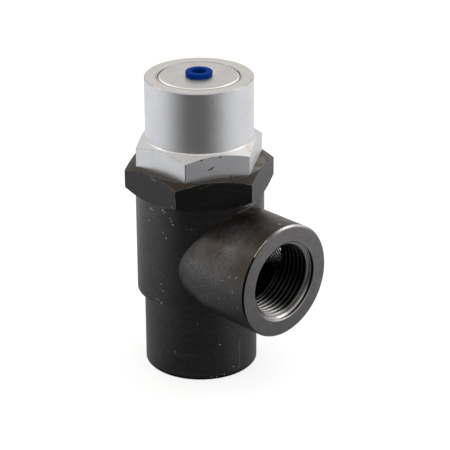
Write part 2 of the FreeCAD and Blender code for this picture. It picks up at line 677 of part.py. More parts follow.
def piston():
    """Cup for the main spring on a neck that stands on the check disc."""
    body = new_body("piston")
    outer = "piston_dia / 2"
    inner = "piston_inside / 2"
    neck = "neck_dia / 2"
    boss = "boss_in_spring / 2"
    turned(body, "cup", [
        ("0", "disc_top_z"),
        (f"{neck} - piston_edge", "disc_top_z"),
        (neck, "disc_top_z + piston_edge"),
        (neck, "piston_floor_z - neck_root"),
        (f"{neck} + neck_root", "piston_floor_z"),
        (f"{outer} - piston_edge", "piston_floor_z"),
        (outer, "piston_floor_z + piston_edge"),
        (outer, "piston_top_z - piston_edge"),
        (f"{outer} - piston_edge", "piston_top_z"),
        (inner, "piston_top_z"),
        (inner, "spring_z"),
        (boss, "spring_z"),
        (boss, "spring_z + spring_boss - 2 * piston_edge"),
        (f"{boss} - 2 * piston_edge", "spring_z + spring_boss"),
        ("0", "spring_z + spring_boss"),
    ])
    turned(body, "stem_bore", [
        ("0", "disc_top_z"),
        ("bush_dia / 2", "disc_top_z"),
        ("bush_dia / 2", "disc_top_z + bush_inset + bush_length"),
        ("stem_bore / 2", "disc_top_z + bush_inset + bush_length"),
        ("stem_bore / 2", "bore_end_z"),
        ("0", "bore_end_z"),
    ], "Groove")
    o_ring_groove(body, "guide_dia / 2", "piston_groove", "piston_groove_width", "piston_groove_z")
    turned(body, "guide_groove", [
        ("ring_groove_dia / 2", "ring_top_z - ring_width"),
        ("guide_dia / 2", "ring_top_z - ring_width"),
        ("guide_dia / 2", "ring_top_z"),
        ("ring_groove_dia / 2", "ring_top_z"),
    ], "Groove")
    sketch = new_sketch(body, "vent_sketch", "YZ")
    ring = sketch.addGeometry(Part.Circle(), False)
    size = sketch.addConstraint(Sketcher.Constraint("Radius", ring, number("vent_dia / 2")))
    sketch.setExpression(f"Constraints[{size}]", bound("vent_dia / 2"))
    sketch.addConstraint(Sketcher.Constraint("PointOnObject", ring, 3, -2))
    height = "piston_floor_z - neck_root - vent_drop"
    place = sketch.addConstraint(Sketcher.Constraint("DistanceY", -1, 1, ring, 3, number(height)))
    sketch.setExpression(f"Constraints[{place}]", bound(height))
    vent = sunk(body, "vent", sketch, "neck_dia")
    vent.Midplane = True
    return body


def stem_bush():
    """Bronze bush in the neck that guides the stem."""
    body = new_body("stem_bush")
    low = "disc_top_z + bush_inset"
    high = "disc_top_z + bush_inset + bush_length - stack_gap"
    outer = "bush_dia / 2 - press_gap"
    inner = "bush_inside / 2"
    turned(body, "bush", [
        (f"{inner} + bush_inset", low),
        (outer, low),
        (outer, high),
        (inner, high),
        (inner, f"{low} + bush_inset"),
    ])
    return body


def piston_guide_ring():
    """Split plastic band that keeps the piston off the guide bore."""
    body = new_body("piston_guide_ring")
    low = "ring_top_z - ring_width + stack_gap"
    high = "ring_top_z - stack_gap"
    turned(body, "band", [
        ("ring_groove_dia / 2 + press_gap", low),
        ("ring_dia / 2", low),
        ("ring_dia / 2", high),
        ("ring_groove_dia / 2 + press_gap", high),
    ])
    split = outline(new_sketch(body, "split_sketch", "YZ"), [
        ("-ring_thickness / 2", "ring_top_z - ring_width"),
        ("ring_thickness / 2", "ring_top_z - ring_width"),
        ("ring_width / 2 + ring_thickness / 2", "ring_top_z"),
        ("ring_width / 2 - ring_thickness / 2", "ring_top_z"),
    ])
    sunk(body, "split", split, "ring_dia", True)
    return body


def spring_plate():
    """Takes the push of the setting plug and centres the top of the main spring."""
    body = new_body("spring_plate")
    boss = "boss_in_spring / 2"
    low = "plate_z - plate_boss"
    turned(body, "plate", [
        ("vent_bore / 2", low),
        (f"{boss} - 2 * piston_edge", low),
        (boss, f"{low} + 2 * piston_edge"),
        (boss, "plate_z"),
        ("plate_dia / 2", "plate_z"),
        ("plate_dia / 2", "nose_z - piston_edge"),
        ("plate_dia / 2 - piston_edge", "nose_z"),
        ("vent_bore / 2", "nose_z"),
    ])
    return body


def setting_plug():
    """Screwed plug flush with the cap, with the recess for the tube cartridge."""
    body = new_body("setting_plug")
    screw = "plug_screw_dia / 2 - thread_play"
    nose = "nose_dia / 2"
    way = "tube_way / 2"
    turned(body, "plug", [
        ("vent_bore / 2", "nose_z"),
        (f"{nose} - piston_edge", "nose_z"),
        (nose, "nose_z + piston_edge"),
        (nose, "plug_screw_z"),
        (screw, "plug_screw_z + plug_screw_step"),
        (screw, "top_z - plug_land - plug_gap"),
        (f"{screw} - plug_gap", "top_z - plug_land"),
        (f"{screw} - plug_gap", "top_z - plug_edge"),
        (f"{screw} - plug_gap - plug_edge", "top_z"),
        ("cartridge_dia / 2", "top_z"),
        ("cartridge_dia / 2", "cartridge_z"),
        (way, "cartridge_z"),
        (way, "cartridge_z - tube_stop"),
        ("vent_bore / 2", "cartridge_z - tube_stop"),
    ])
    o_ring_groove(body, "nose_bore_dia / 2", "plug_groove", "plug_groove_width", "plug_groove_z")
    return body


def backup_ring():
    """Plastic cup ring between the tube O-ring and the grab ring."""
    body = new_body("backup_ring")
    outer = "stack_dia / 2"
    rim = "stack_dia / 2 - grab_land + press_gap"
    turned(body, "cup", [
        ("tube_way / 2 + sleeve_slack", "backup_z"),
        (outer, "backup_z"),
        (outer, "backup_z + backup_height"),
        (rim, "backup_z + backup_height"),
        (rim, "backup_z + backup_floor"),
        ("tube_way / 2 + sleeve_slack", "backup_z + backup_floor"),
    ])
    return body


def grab_ring():
    """Dished spring steel ring, slotted into teeth that bite the tube."""
    body = new_body("grab_ring")
    outer = "stack_dia / 2"
    fold = "stack_dia / 2 - grab_land"
    tip = "tube_way / 2 + press_gap"
    turned(body, "ring", [
        (tip, "grab_z - grab_dish"),
        (fold, "grab_z"),
        (outer, "grab_z"),
        (outer, "grab_z + grab_thickness"),
        (fold, "grab_z + grab_thickness"),
        (tip, "grab_z + grab_thickness - grab_dish"),
    ])
    slot = outline(new_sketch(body, "slot_sketch", "XY", along="grab_z - grab_dish"), [
        ("tube_dia / 4", "-grab_slot / 2"),
        (f"{fold} + press_gap", "-grab_slot / 2"),
        (f"{fold} + press_gap", "grab_slot / 2"),
        ("tube_dia / 4", "grab_slot / 2"),
    ])
    cut = sunk(body, "slot", slot, "grab_dish + 2 * grab_thickness", True)
    doc.recompute()
    teeth = body.newObject("PartDesign::PolarPattern", "teeth")
    teeth.Originals = [cut]
    teeth.Axis = (slot, ["N_Axis"])
    teeth.Angle = 360
    teeth.setExpression("Occurrences", bound("grab_teeth"))
    body.Tip = teeth
    return body


def cartridge_collar():
    """Pressed collar that closes the cartridge and catches the sleeve's bead."""
    body = new_body("cartridge_collar")
    outer = "stack_dia / 2"
    wide = "stack_dia / 2 - collar_wall"
    narrow = "sleeve_dia / 2 + press_gap + stack_gap"
    turned(body, "collar", [
        (wide, "collar_z"),
        (outer, "collar_z"),
        (outer, "collar_z + collar_height"),
        (narrow, "collar_z + collar_height"),
        (narrow, "catch_z"),
        (wide, "catch_z"),
    ])
    return body


def release_sleeve():
    """Blue sleeve: pushed in, it spreads the grab ring and frees the tube."""
    body = new_body("release_sleeve")
    way = "tube_way / 2"
    sleeve = "sleeve_dia / 2"
    shoulder = "shoulder_dia / 2"
    flange = "flange_dia / 2"
    turned(body, "sleeve", [
        (way, "bead_z"),
        (f"{sleeve} - sleeve_edge", "bead_z"),
        ("bead_dia / 2", "bead_z + bead_height / 2"),
        ("bead_dia / 2", "bead_z + bead_height"),
        (sleeve, "bead_z + bead_height"),
        (sleeve, "shoulder_low_z"),
        (shoulder, "shoulder_low_z"),
        (shoulder, "flange_z"),
        (flange, "flange_z"),
        (flange, "sleeve_top_z - sleeve_edge"),
        (f"{flange} - sleeve_edge", "sleeve_top_z"),
        (f"{way} + sleeve_edge", "sleeve_top_z"),
        (way, "sleeve_top_z - sleeve_edge"),
    ])
    return body


pieces = [
    valve_body(),
    spring_cap(),
    o_ring("cap_o_ring", "pilot_dia / 2 - cap_groove", "pilot_dia / 2", "cap_ring_width", "cap_groove_z"),
    check_disc(),
    disc_seal(),
    seal_washer(),
    seal_screw(),
    piston(),
    stem_bush(),
    o_ring("piston_o_ring", "guide_dia / 2 - piston_groove", "guide_dia / 2", "piston_ring_width",
           "piston_groove_z"),
    piston_guide_ring(),
    coil_spring("main_spring", "main_dia", "main_wire", "spring_z", "plate_z", "main_turns",
                runs=20, sides=12),
    coil_spring("check_spring", "check_dia", "check_wire", "pocket_z", "bore_end_z", "check_turns",
                runs=12, sides=8),
    spring_plate(),
    setting_plug(),
    o_ring("plug_o_ring", "nose_bore_dia / 2 - plug_groove", "nose_bore_dia / 2", "plug_ring_width",
           "plug_groove_z"),
    o_ring("tube_o_ring", "tube_way / 2", "cartridge_dia / 2", "tube_ring", "(cartridge_z + backup_z) / 2"),
    backup_ring(),
    grab_ring(),
    cartridge_collar(),
    release_sleeve(),
]
doc.recompute()

for item in doc.Objects:
    if "Invalid" in item.State or "Error" in item.State:
        raise RuntimeError(f"{item.Label} failed to build: {item.State}")
for piece in pieces:
    if piece.Shape.isNull() or not piece.Shape.isValid() or not piece.Shape.Solids:
        raise RuntimeError(f"{piece.Label} has no valid solid")

os.makedirs("parts", exist_ok=True)
for piece in pieces:
    piece.Shape.exportStep(f"parts/{piece.Label}.step")
    print(piece.Label, len(piece.Shape.Solids), round(piece.Shape.Volume, 1))
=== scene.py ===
"""Looks of the minimum pressure valve: materials, threads, springs, light and camera.

Metres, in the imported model's frame: the origin is the centre of the inlet face, +Z runs up the valve
axis and +X runs out through the outlet port. Sizes are written in millimetres, times MM. Materials work
in millimetres, so what only they follow has no MM.
"""
import json
import math

import bmesh
import bpy
from mathutils import Matrix, Vector


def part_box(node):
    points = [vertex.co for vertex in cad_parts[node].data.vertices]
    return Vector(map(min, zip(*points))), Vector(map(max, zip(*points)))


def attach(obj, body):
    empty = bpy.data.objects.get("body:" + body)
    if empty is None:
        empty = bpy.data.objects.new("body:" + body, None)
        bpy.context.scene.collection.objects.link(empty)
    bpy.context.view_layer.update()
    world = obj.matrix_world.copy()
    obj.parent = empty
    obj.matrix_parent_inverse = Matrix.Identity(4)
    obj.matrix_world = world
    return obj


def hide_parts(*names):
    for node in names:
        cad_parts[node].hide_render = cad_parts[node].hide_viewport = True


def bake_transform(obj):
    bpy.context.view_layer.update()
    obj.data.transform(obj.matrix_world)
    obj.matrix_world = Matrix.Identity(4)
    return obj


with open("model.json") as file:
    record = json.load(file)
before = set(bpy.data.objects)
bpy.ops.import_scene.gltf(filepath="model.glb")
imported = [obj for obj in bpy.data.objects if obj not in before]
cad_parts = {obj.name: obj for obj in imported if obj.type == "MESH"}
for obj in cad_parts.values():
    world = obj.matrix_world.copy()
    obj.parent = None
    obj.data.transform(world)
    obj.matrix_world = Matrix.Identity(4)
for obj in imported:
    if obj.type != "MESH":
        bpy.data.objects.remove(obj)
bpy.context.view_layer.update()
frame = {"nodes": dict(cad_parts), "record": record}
nodes = frame["nodes"]
record = frame["record"]
mounts = {mount["name"]: mount for mount in record["mounts"]}
slot_of = {part["node"]: part["material_slot"] for part in record["subparts"]}
scene = bpy.context.scene
MM = 0.001
WHITE = (1.0, 1.0, 1.0)

# camera, fitted to the photograph
VIEW_AIM = Vector((0, 0, 60)) * MM
VIEW_DISTANCE = 748.382 * MM
VIEW_AZIMUTH = 46.859
VIEW_ELEVATION = 24.409
VIEW_YAW, VIEW_PITCH, VIEW_ROLL = -0.799, 0.095, -0.535
VIEW_LENS = 141.47
VIEW_CLIP = 10 * MM

# light: a pale tent that is dark low down on the side the picture is taken from, and two lamps
DARK_AZIMUTH = -49.0
DARK_FULL, DARK_GONE = 16.0, 86.0
DARK_HEIGHT = 0.10, 0.60
# in reflections the floor glows, dimmer near the valve: a painted shadow of the valve
DARK_GLOW_NEAR, DARK_GLOW_FAR = 0.15, 0.085
FLOOR_GLOW_NEAR, FLOOR_GLOW_FAR = 0.45, 0.92
FLOOR_NEAR, FLOOR_FAR = 60, 260
FLOOR_HALF = 3000 * MM
FLOOR_DROP = 0.02 * MM
FLOOR_COLOUR = (0.972, 0.985, 1.0)
PAPER_COLOUR, PAPER_GLOW = (0.5, 0.5, 0.5), 0.7
SKY_GLOW = 0.82
SKY_COLOUR = (1.0, 0.982, 0.962)
LEFT_BOX = {"level_angle": -149, "lift": 38, "distance": 1200 * MM, "size": 350 * MM, "glow": 1.5}
RIGHT_BOX = {"level_angle": 52, "lift": 34, "distance": 1200 * MM, "size": 450 * MM, "glow": 2.8}

# screw threads in the ports: Whitworth form, 11 to the inch and 19 to the inch
PORT_PITCH = 25.4 / 11 * MM
GAUGE_PITCH = 25.4 / 19 * MM
THREAD_RISE = 0.640327
THREAD_ROUND = 0.137329
THREAD_FLANK = math.radians(27.5)
THREAD_START = 0.22
THREAD_CUT = 20 * MM
THREAD_RUNOUT = 3.0 * MM
INLET_END, OUTLET_END, GAUGE_END = 20.85 * MM, 21.5 * MM, 15 * MM
PORT_FLARE = 0.73 * MM
GAUGE_FLARE = 0.4 * MM
MOUNT_INSET = 0.02 * MM
WALL_INSET = 0.05 * MM
SLEEVE_BACKING = 0.15 * MM
OUTLET_BORE = 15 * MM
OUTLET_HEIGHT = mounts["outlet_port"]["pos_m"][2]
OUTLET_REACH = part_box("valve_body")[1].x
GAUGE_CUTTER_LENGTH = 30 * MM
POINTS_AROUND = 144
ROWS_PER_PITCH = 18

# springs: wire, open turns, and points for one turn and round the wire
MAIN_WIRE, MAIN_TURNS = 3.2 * MM, 3.5
MAIN_POINTS = 48, 16
CHECK_WIRE, CHECK_TURNS = 0.9 * MM, 6.5
CHECK_POINTS = 32, 12
GROUND_TIP = 0.25
COIL_GAP = 0.05 * MM
FOOT_SHARE = 0.23

# body sizes that materials follow, and the direction in degrees of the flanks on the outlet's far side
BARREL_RADIUS = 27.0
HEX_FOOT = 79.5
BOSS_HEIGHT = OUTLET_HEIGHT / MM
BOSS_END = OUTLET_REACH / MM
BOSS_RIM = 24.0
MOUTH_RADIUS = 17.45
PLUG_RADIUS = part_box("setting_plug")[1].x / MM
CAP_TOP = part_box("spring_cap")[1].z / MM
CAP_HEX_TOP = 103.0
FAR_FLANK = 28.5
CAP_FAR_FLANK = 34.5
HEX_TURN = 60

# noise and marks: the noise that counts, how far it moves on with the radius, and how marks fade out
NOISE_RANGE = 0.3, 0.7
RING_STEP, RING_MIDDLE = 0.7, 0.01
MARK_FADE = 0.4
SPOT_START, SPOT_FULL = 1.25, 0.6
EDGE_FADE = 0.995, 0.93
EDGE_SAMPLES = 6

# marks of use, and marks of painted light and shade, in millimetres: spots by middle and size, strokes by
# their two ends
CHIPS = [
    ((-0.8, -27.0, 77.3), 0.42),
    ((0.2, -27.0, 76.8), 0.30),
    ((5.8, -26.3, 78.2), 0.45),
    ((6.6, -26.1, 77.5), 0.30),
    ((12.6, -27.5, 82.4), 0.40),
    ((12.9, -27.4, 81.5), 0.28),
    ((9.2, -25.4, 75.3), 0.28),
    ((9.7, -25.2, 74.2), 0.34),
    ((10.1, -25.0, 72.7), 0.38),
    ((-2.0, -26.9, 71.4), 0.26),
    ((4.2, -26.7, 35.4), 0.42),
    ((4.9, -26.5, 36.2), 0.24),
    ((1.9, -26.9, 36.8), 0.22),
    ((5.9, -26.3, 68.2), 0.26),
    ((7.2, -26.0, 66.0), 0.30),
    ((4.4, -26.6, 44.2), 0.26),
    ((5.2, -26.5, 41.6), 0.24),
    ((2.7, -26.8, 36.5), 0.22),
    ((45.85, 0.7, 76.4), 0.50),
    ((8.0, -22.6, 12.2), 0.26),
    ((21.9, -9.8, 16.3), 0.26),
    ((16.4, -17.5, 27.1), 0.24),
    ((20.0, -13.3, 1.3), 0.30),
    ((21.2, -11.2, 1.0), 0.24),
    ((22.6, -7.9, 1.5), 0.34),
    ((23.7, -3.6, 4.1), 0.30),
]
SCRATCHES = [
    ((44.3, -23.0, 59.4), (45.4, -22.6, 60.5)),
    ((43.6, -24.0, 54.3), (44.3, -24.0, 53.2)),
    ((42.2, -24.0, 53.7), (42.8, -24.0, 53.4)),
    ((36.6, -23.6, 56.4), (38.2, -23.7, 56.7)),
    ((35.2, -23.5, 48.1), (35.7, -23.4, 47.2)),
    ((22.9, -22.4, 44.3), (24.4, -22.5, 44.0)),
    ((41.1, -23.0, 59.6), (41.7, -23.2, 58.8)),
    ((46.2, -23.5, 47.9), (47.0, -23.6, 47.7)),
    ((0.4, -27.5, 90.9), (3.6, -27.4, 90.9)),
    ((5.4, -27.4, 90.6), (8.4, -27.3, 90.2)),
]
FAINT_LINES = [
    ((23.99, -0.6, 15.2), (24.0, -0.1, 10.4)),
    ((24.0, -0.1, 10.4), (23.99, -0.7, 2.3)),
    ((20.3, -19.4, 90.0), (23.9, -14.0, 91.9)),
]
# bare worn metal on the outlet's rim, with a painted glint
RIM_WEAR_AND_GLINT = [
    ((49.5, -10.6, 73.8), (49.5, -14.2, 71.6)),
    ((49.5, -14.2, 71.6), (49.5, -17.3, 68.9)),
]
# pale lines where the boss meets the barrel under the hexagon: painted light
ROOT_LIGHT_LINES = [
    ((26.7, -4.0, 76.9), (26.9, 2.3, 77.3)),
    ((26.9, 2.3, 77.3), (26.0, 7.2, 78.0)),
    ((27.0, -0.1, 78.6), (26.6, 4.6, 78.2)),
]
DENTS = [
    ((19.8, -13.7, 96.3), (20.8, -11.7, 97.4)),
    ((19.8, -13.7, 96.2), (20.4, -12.6, 96.8)),
    ((18.4, -16.7, 100.9), (18.8, -15.9, 101.1)),
    ((21.8, -9.6, 101.3), (22.1, -8.9, 101.4)),
    ((23.8, -5.3, 92.0), (23.9, -5.1, 92.6)),
]
DENT_SPOTS = [
    ((20.35, -12.65, 96.85), 0.46),
    ((18.6, -16.3, 101.05), 0.30),
    ((21.95, -9.2, 101.35), 0.24),
]
# white lines down two corners of the cap's hexagon: painted highlights
HIGHLIGHT_EDGES = [
    ((27.46, 2.16, 101.6), (27.46, 2.16, 93.4)),
    ((15.30, -22.86, 98.6), (15.30, -22.86, 92.8)),
]
# a dark line down a corner of the cap's hexagon: painted shade
CORNER_SHADE_LINES = [
    ((15.6, -22.7, 99.6), (15.6, -22.7, 92.6)),
]
STAIN = [
    ((22.6, 5.3, 102.3), (25.0, 4.6, 101.0)),
]
STAIN_SPOTS = [
    ((24.9, 4.8, 101.0), 0.42),
    ((23.2, 5.1, 102.0), 0.24),
]
CAP_MARKS = [
    ((19.45, -11.3, 124.9), 0.34),
]


def azimuth(degrees):
    """The level direction at an angle from +X."""
    return Vector((math.cos(math.radians(degrees)), math.sin(math.radians(degrees)), 0))


def circle(middle, first, second, radii):
    """Points evenly round a middle, one for each radius, in the plane of two directions."""
    ring = []
    for step, radius in enumerate(radii):
        angle = math.tau * step / len(radii)
        ring.append(middle + (first * math.cos(angle) + second * math.sin(angle)) * radius)
    return ring


def mesh_from_rings(name, rings, looped=False):
    """A closed mesh from rings of points, each joined to the next; looped joins the last to the first."""
    built = bmesh.new()
    rows = [[built.verts.new(point) for point in ring] for ring in rings]
    count = len(rows[0])
    pairs = list(zip(rows, rows[1:] + rows[:1])) if looped else list(zip(rows, rows[1:]))
    for lower, upper in pairs:
        for index in range(count):
            after = (index + 1) % count
            face = built.faces.new((lower[index], lower[after], upper[after], upper[index]))
            face.smooth = True
    if not looped:
        for row in (rows[0], rows[-1]):
            built.faces.new(row)
    bmesh.ops.recalc_face_normals(built, faces=built.faces)
    mesh = bpy.data.meshes.new(name)
    built.to_mesh(mesh)
    built.free()
    return mesh


def new_piece(name, mesh, slot, *replaced, look=None):
    """Add a mesh to the scene as a piece with the finish of a material slot, or with a look of its own."""
    piece = bpy.data.objects.new(name, mesh)
    scene.collection.objects.link(piece)
    piece.data.materials.append(finishes[look or slot])
    if replaced:
        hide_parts(*replaced)
    return piece


class Shader:
    """The node tree of a material or world, with short ways to add nodes to it."""

    def __init__(self, owner):
        if isinstance(owner, str):
            owner = bpy.data.materials.new(owner)
        self.owner = owner
        owner.use_nodes = True
        self.tree = owner.node_tree
        self.tree.nodes.clear()
        coordinates = self.tree.nodes.new("ShaderNodeTexCoord").outputs
        self.place = self.scaled(coordinates["Object"], 1 / MM)
        self.x, self.y, self.z = self.split(self.place)
        self.facing = coordinates["Normal"]
        self.up = self.split(self.facing)[2]
        self.direction = coordinates["Generated"]

    def give(self, socket, value):
        """Link an output to a socket, or set the socket to a plain value; a colour is given its alpha."""
        if isinstance(value, bpy.types.NodeSocket):
            self.tree.links.new(value, socket)
        elif socket.type == "RGBA":
            socket.default_value = (*value, 1)
        else:
            socket.default_value = value

    def node(self, kind, *values, **settings):
        """Add a node with these settings, and fill its first sockets."""
        made = self.tree.nodes.new(kind)
        for setting, value in settings.items():
            setattr(made, setting, value)
        for socket, value in zip(made.inputs, values):
            if value is not None:
                self.give(socket, value)
        return made

    def math(self, operation, *values):
        return self.node("ShaderNodeMath", *values, operation=operation).outputs[0]

    def times(self, product, *others):
        """The product of masks and shares."""
        for other in others:
            product = self.math("MULTIPLY", product, other)
        return product

    def highest(self, *masks):
        """The highest of several masks."""
        total = masks[0]
        for mask in masks[1:]:
            total = self.math("MAXIMUM", total, mask)
        return total

    def rest_of(self, mask):
        """What a mask leaves of 1."""
        return self.math("SUBTRACT", 1.0, mask)

    def above(self, value, limit):
        return self.math("GREATER_THAN", value, limit)

    def below(self, value, limit):
        return self.math("LESS_THAN", value, limit)

    def vector(self, operation, *values):
        return self.node("ShaderNodeVectorMath", *values, operation=operation).outputs[0]

    def dot(self, first, second):
        return self.node("ShaderNodeVectorMath", first, second, operation="DOT_PRODUCT").outputs["Value"]

    def scaled(self, vector, scale):
        made = self.node("ShaderNodeVectorMath", vector, operation="SCALE")
        self.give(made.inputs["Scale"], scale)
        return made.outputs[0]

    def split(self, vector):
        return self.node("ShaderNodeSeparateXYZ", vector).outputs[:]

    def join(self, x, y, z):
        return self.node("ShaderNodeCombineXYZ", x, y, z).outputs[0]

    def length(self, *sides):
        """The length of a vector given by its sides."""
        total = self.math("MULTIPLY", sides[0], sides[0])
        for side in sides[1:]:
            total = self.math("MULTIPLY_ADD", side, side, total)
        return self.math("SQRT", total)

    def towards(self, vector, degrees):
        """How far a vector points in a level direction, from -1 to 1."""
        return self.dot(vector, azimuth(degrees))

    def round_side(self, degrees):
        """How far a place lies from the valve's axis in a level direction, from -1 to 1."""
        return self.towards(self.vector("NORMALIZE", self.join(self.x, self.y, 0.0)), degrees)

    def flank(self, degrees):
        """1 on the flank of a hexagon that faces a level direction."""
        return self.span(self.towards(self.facing, degrees), 0.97, 0.99)

    def noise(self, vector, scale, detail, roughness=0.55):
        made = self.node("ShaderNodeTexNoise", vector)
        for name, value in (("Scale", scale), ("Detail", detail), ("Roughness", roughness)):
            self.give(made.inputs[name], value)
        return made.outputs["Fac"]

    def span(self, value, low, high, first=0.0, last=1.0):
        """Map a value between low and high to a value between first and last, and hold it there."""
        return self.node("ShaderNodeMapRange", value, low, high, first, last).outputs[0]

    def smooth(self, value, low, high, first=0.0, last=1.0):
        """The same with a soft start and end."""
        places = value, low, high, first, last
        return self.node("ShaderNodeMapRange", *places, interpolation_type="SMOOTHSTEP").outputs[0]

    def band(self, value, start, end):
        """1 between two edges, each given as a pair: where it is 0 and where it is 1."""
        return self.times(self.span(value, *start), self.span(value, *end))

    def mix(self, share, first, second):
        """A colour between two colours."""
        made = self.node("ShaderNodeMix", data_type="RGBA")
        for index, value in ((0, share), (6, first), (7, second)):
            self.give(made.inputs[index], value)
        return made.outputs[2]

    def tint(self, base, mask, colour, share=1.0):
        """Lay a colour over the base where the mask is 1, up to a share."""
        if share < 1.0:
            mask = self.times(mask, share)
        return self.mix(mask, base, colour)

    def mix_value(self, share, first, second):
        return self.node("ShaderNodeMix", share, None, first, second, data_type="FLOAT").outputs[0]

    def rings(self, along, side, up):
        """A vector in which noise runs in rings round an axis, from the coordinates along and across it."""
        radius = self.math("MAXIMUM", self.length(side, up), RING_MIDDLE)
        step = self.math("MULTIPLY_ADD", radius, RING_STEP, along)
        return self.join(self.math("DIVIDE", side, radius), self.math("DIVIDE", up, radius), step)

    def specks(self, spacing, size, share, stretch=(1, 1, 1)):
        """Small ragged marks scattered over the surface; share is how many cells hold one."""
        ragged = self.noise(self.place, scale=1.6, detail=2.0)
        moved = self.vector("ADD", self.place, self.scaled(self.join(ragged, ragged, ragged), 0.8))
        cells = self.node("ShaderNodeTexVoronoi", self.vector("MULTIPLY", moved, stretch))
        self.give(cells.inputs["Scale"], 1 / spacing)
        chosen = self.split(cells.outputs["Color"])[0]
        near = self.span(cells.outputs["Distance"], size / spacing, MARK_FADE * size / spacing)
        return self.times(near, self.above(chosen, 1 - share))

    def worn_edges(self, radius):
        """1 on edges and corners, 0 on open surface."""
        rounded = self.node("ShaderNodeBevel", samples=EDGE_SAMPLES)
        rounded.inputs["Radius"].default_value = radius
        true = self.node("ShaderNodeNewGeometry").outputs["Normal"]
        return self.span(self.dot(rounded.outputs[0], true), *EDGE_FADE)

    def stroke(self, start, end, width, ragged):
        """1 on a short mark between two points of the surface, with a ragged edge."""
        start, end = Vector(start), Vector(end)
        run = end - start
        reach = self.vector("SUBTRACT", self.place, start)
        share = self.span(self.dot(reach, run / run.length_squared), 0, 1)
        away = self.length(*self.split(self.vector("SUBTRACT", reach, self.scaled(run, share))))
        rough = self.noise(self.place, scale=2.4, detail=3.0, roughness=0.7)
        away = self.math("MULTIPLY_ADD", self.math("SUBTRACT", rough, 0.5), ragged, away)
        return self.span(away, width, MARK_FADE * width)

    def strokes(self, marks, width, ragged):
        """1 on any of several strokes."""
        return self.highest(*[self.stroke(start, end, width, ragged) for start, end in marks])

    def flecks(self, marks, ragged):
        """1 on small ragged spots, each given by its middle and size."""
        rough = self.math("SUBTRACT", self.noise(self.place, scale=1.9, detail=3.0, roughness=0.75), 0.5)
        spots = []
        for middle, size in marks:
            away = self.length(*self.split(self.vector("SUBTRACT", self.place, Vector(middle))))
            away = self.math("MULTIPLY_ADD", rough, ragged, away)
            spots.append(self.span(away, SPOT_START * size, SPOT_FULL * size))
        return self.highest(*spots)

    def bump(self, height, depth):
        """A normal from a height between 0 and 1 that stands for this depth."""
        made = self.node("ShaderNodeBump")
        made.inputs["Distance"].default_value = depth
        self.give(made.inputs["Height"], height)
        return made.outputs[0]

    def finish(self, **values):
        """Add the surface, fill its sockets, named with _ for a space, and return the material."""
        surface = self.node("ShaderNodeBsdfPrincipled")
        for name, value in values.items():
            self.give(surface.inputs[name.replace("_", " ")], value)
        self.node("ShaderNodeOutputMaterial", surface.outputs[0])
        return self.owner


# black skin: how its colours, with painted light and painted shade, lie on the body, with places in
# millimetres and facings from -1 to 1
SKIN = (0.052, 0.050, 0.051), (0.086, 0.083, 0.084)
BOSS_SKIN = (0.060, 0.056, 0.057), (0.190, 0.183, 0.187)
BOSS_ROOT = BARREL_RADIUS + 0.06, BARREL_RADIUS + 3.0
SAND = (0.21, 0.203, 0.205)
FACED = (0.257, 0.246, 0.244)
FACE_START = BOSS_END - 0.3
# painted light: the boss made paler where it faces down
UNDERSIDE_LIGHT = (0.24, 0.228, 0.228)
UNDERSIDE_FACING = -0.30, -0.62
# painted shade on the black hexagon's chamfers, less on the outlet's far side
CHAMFER_SHADE = (0.026, 0.024, 0.022)
CHAMFER_FACING = (0.80, 0.84), (0.95, 0.90)
CHAMFER_SHARES = 0.75, 0.45
# painted shade on the black hexagon's top ledge
LEDGE_SHADE = (0.026, 0.024, 0.021)
LEDGE_FACING = 0.97
# painted light on the ledge on the outlet's far side
FAR_LEDGE_LIGHT = (0.34, 0.33, 0.31)
FAR_SIDE = 0.80, 0.93
# painted shade on three flanks of the black hexagon
FLANK_SHADE = (0.012, 0.012, 0.012)
FAR_FLANK_SHADE = (0.016, 0.016, 0.017)
BLOTCH = (0.040, 0.038, 0.038)
BROWN = (0.060, 0.047, 0.036)
BROWN_FACING = 0.0, 0.7
WARM = (0.056, 0.045, 0.037)
WARM_PLACE, WARM_FACING = (32.0, 46.0), (-0.15, 0.45)
STREAK = (0.15, 0.145, 0.145)
# painted shade along the foot, where the valve meets the floor
FOOT_SHADE = (0.012, 0.012, 0.012)
FOOT_HEIGHT = 0.7, 1.7
BARE_EDGE = (0.40, 0.38, 0.36)

# the outlet's edges, with heights from the outlet's axis
EDGE_START = BOSS_END - 0.8
SHADED = (0.008, 0.008, 0.008)
SHADED_RADIUS = BOSS_RIM - 0.75, BOSS_RIM - 0.55
SHADED_SIDE, SHADED_HEIGHT = (-9.0, -14.0), (-13.0, -4.0)
GLINT = (0.58, 0.57, 0.57)
GLINT_RADIUS = BOSS_RIM - 1.3, BOSS_RIM - 0.4
GLINT_SIDE, GLINT_HEIGHT = (-8.0, 2.0), (16.0, 21.5)
MOUTH = (0.40, 0.395, 0.39)
# painted shade in the groove where the outlet's thread starts
GROOVE_SHADE = (0.012, 0.012, 0.012)
GROOVE_PLACE, GROOVE_WIDTH, GROOVE_EDGE = BOSS_END - 0.6, 0.40, 0.1
GROOVE_ANGLE, GROOVE_SPREAD = -28, (-0.1, 0.9)
# painted shade deep in the outlet's bore
INSIDE_SHADE = (0.010, 0.010, 0.010)
INSIDE_RADIUS, INSIDE_BACK, INSIDE_FRONT = OUTLET_BORE / MM + 2.0, 12, (34, 32)

# marks on the black skin
RIM_METAL_AND_GLINT = (0.80, 0.76, 0.66)
SCRATCH = (0.55, 0.54, 0.53)
ROOT_LIGHT = (0.36, 0.35, 0.37)
CHIP = (0.62, 0.62, 0.62)
DUST = (0.42, 0.41, 0.40)


def on_outlet(shader):
    """1 on the outlet boss, 0 on the rest of the body, with a soft change round the boss's root."""
    out = shader.smooth(shader.length(shader.x, shader.y), *BOSS_ROOT)
    return shader.times(out, shader.below(shader.z, HEX_FOOT))


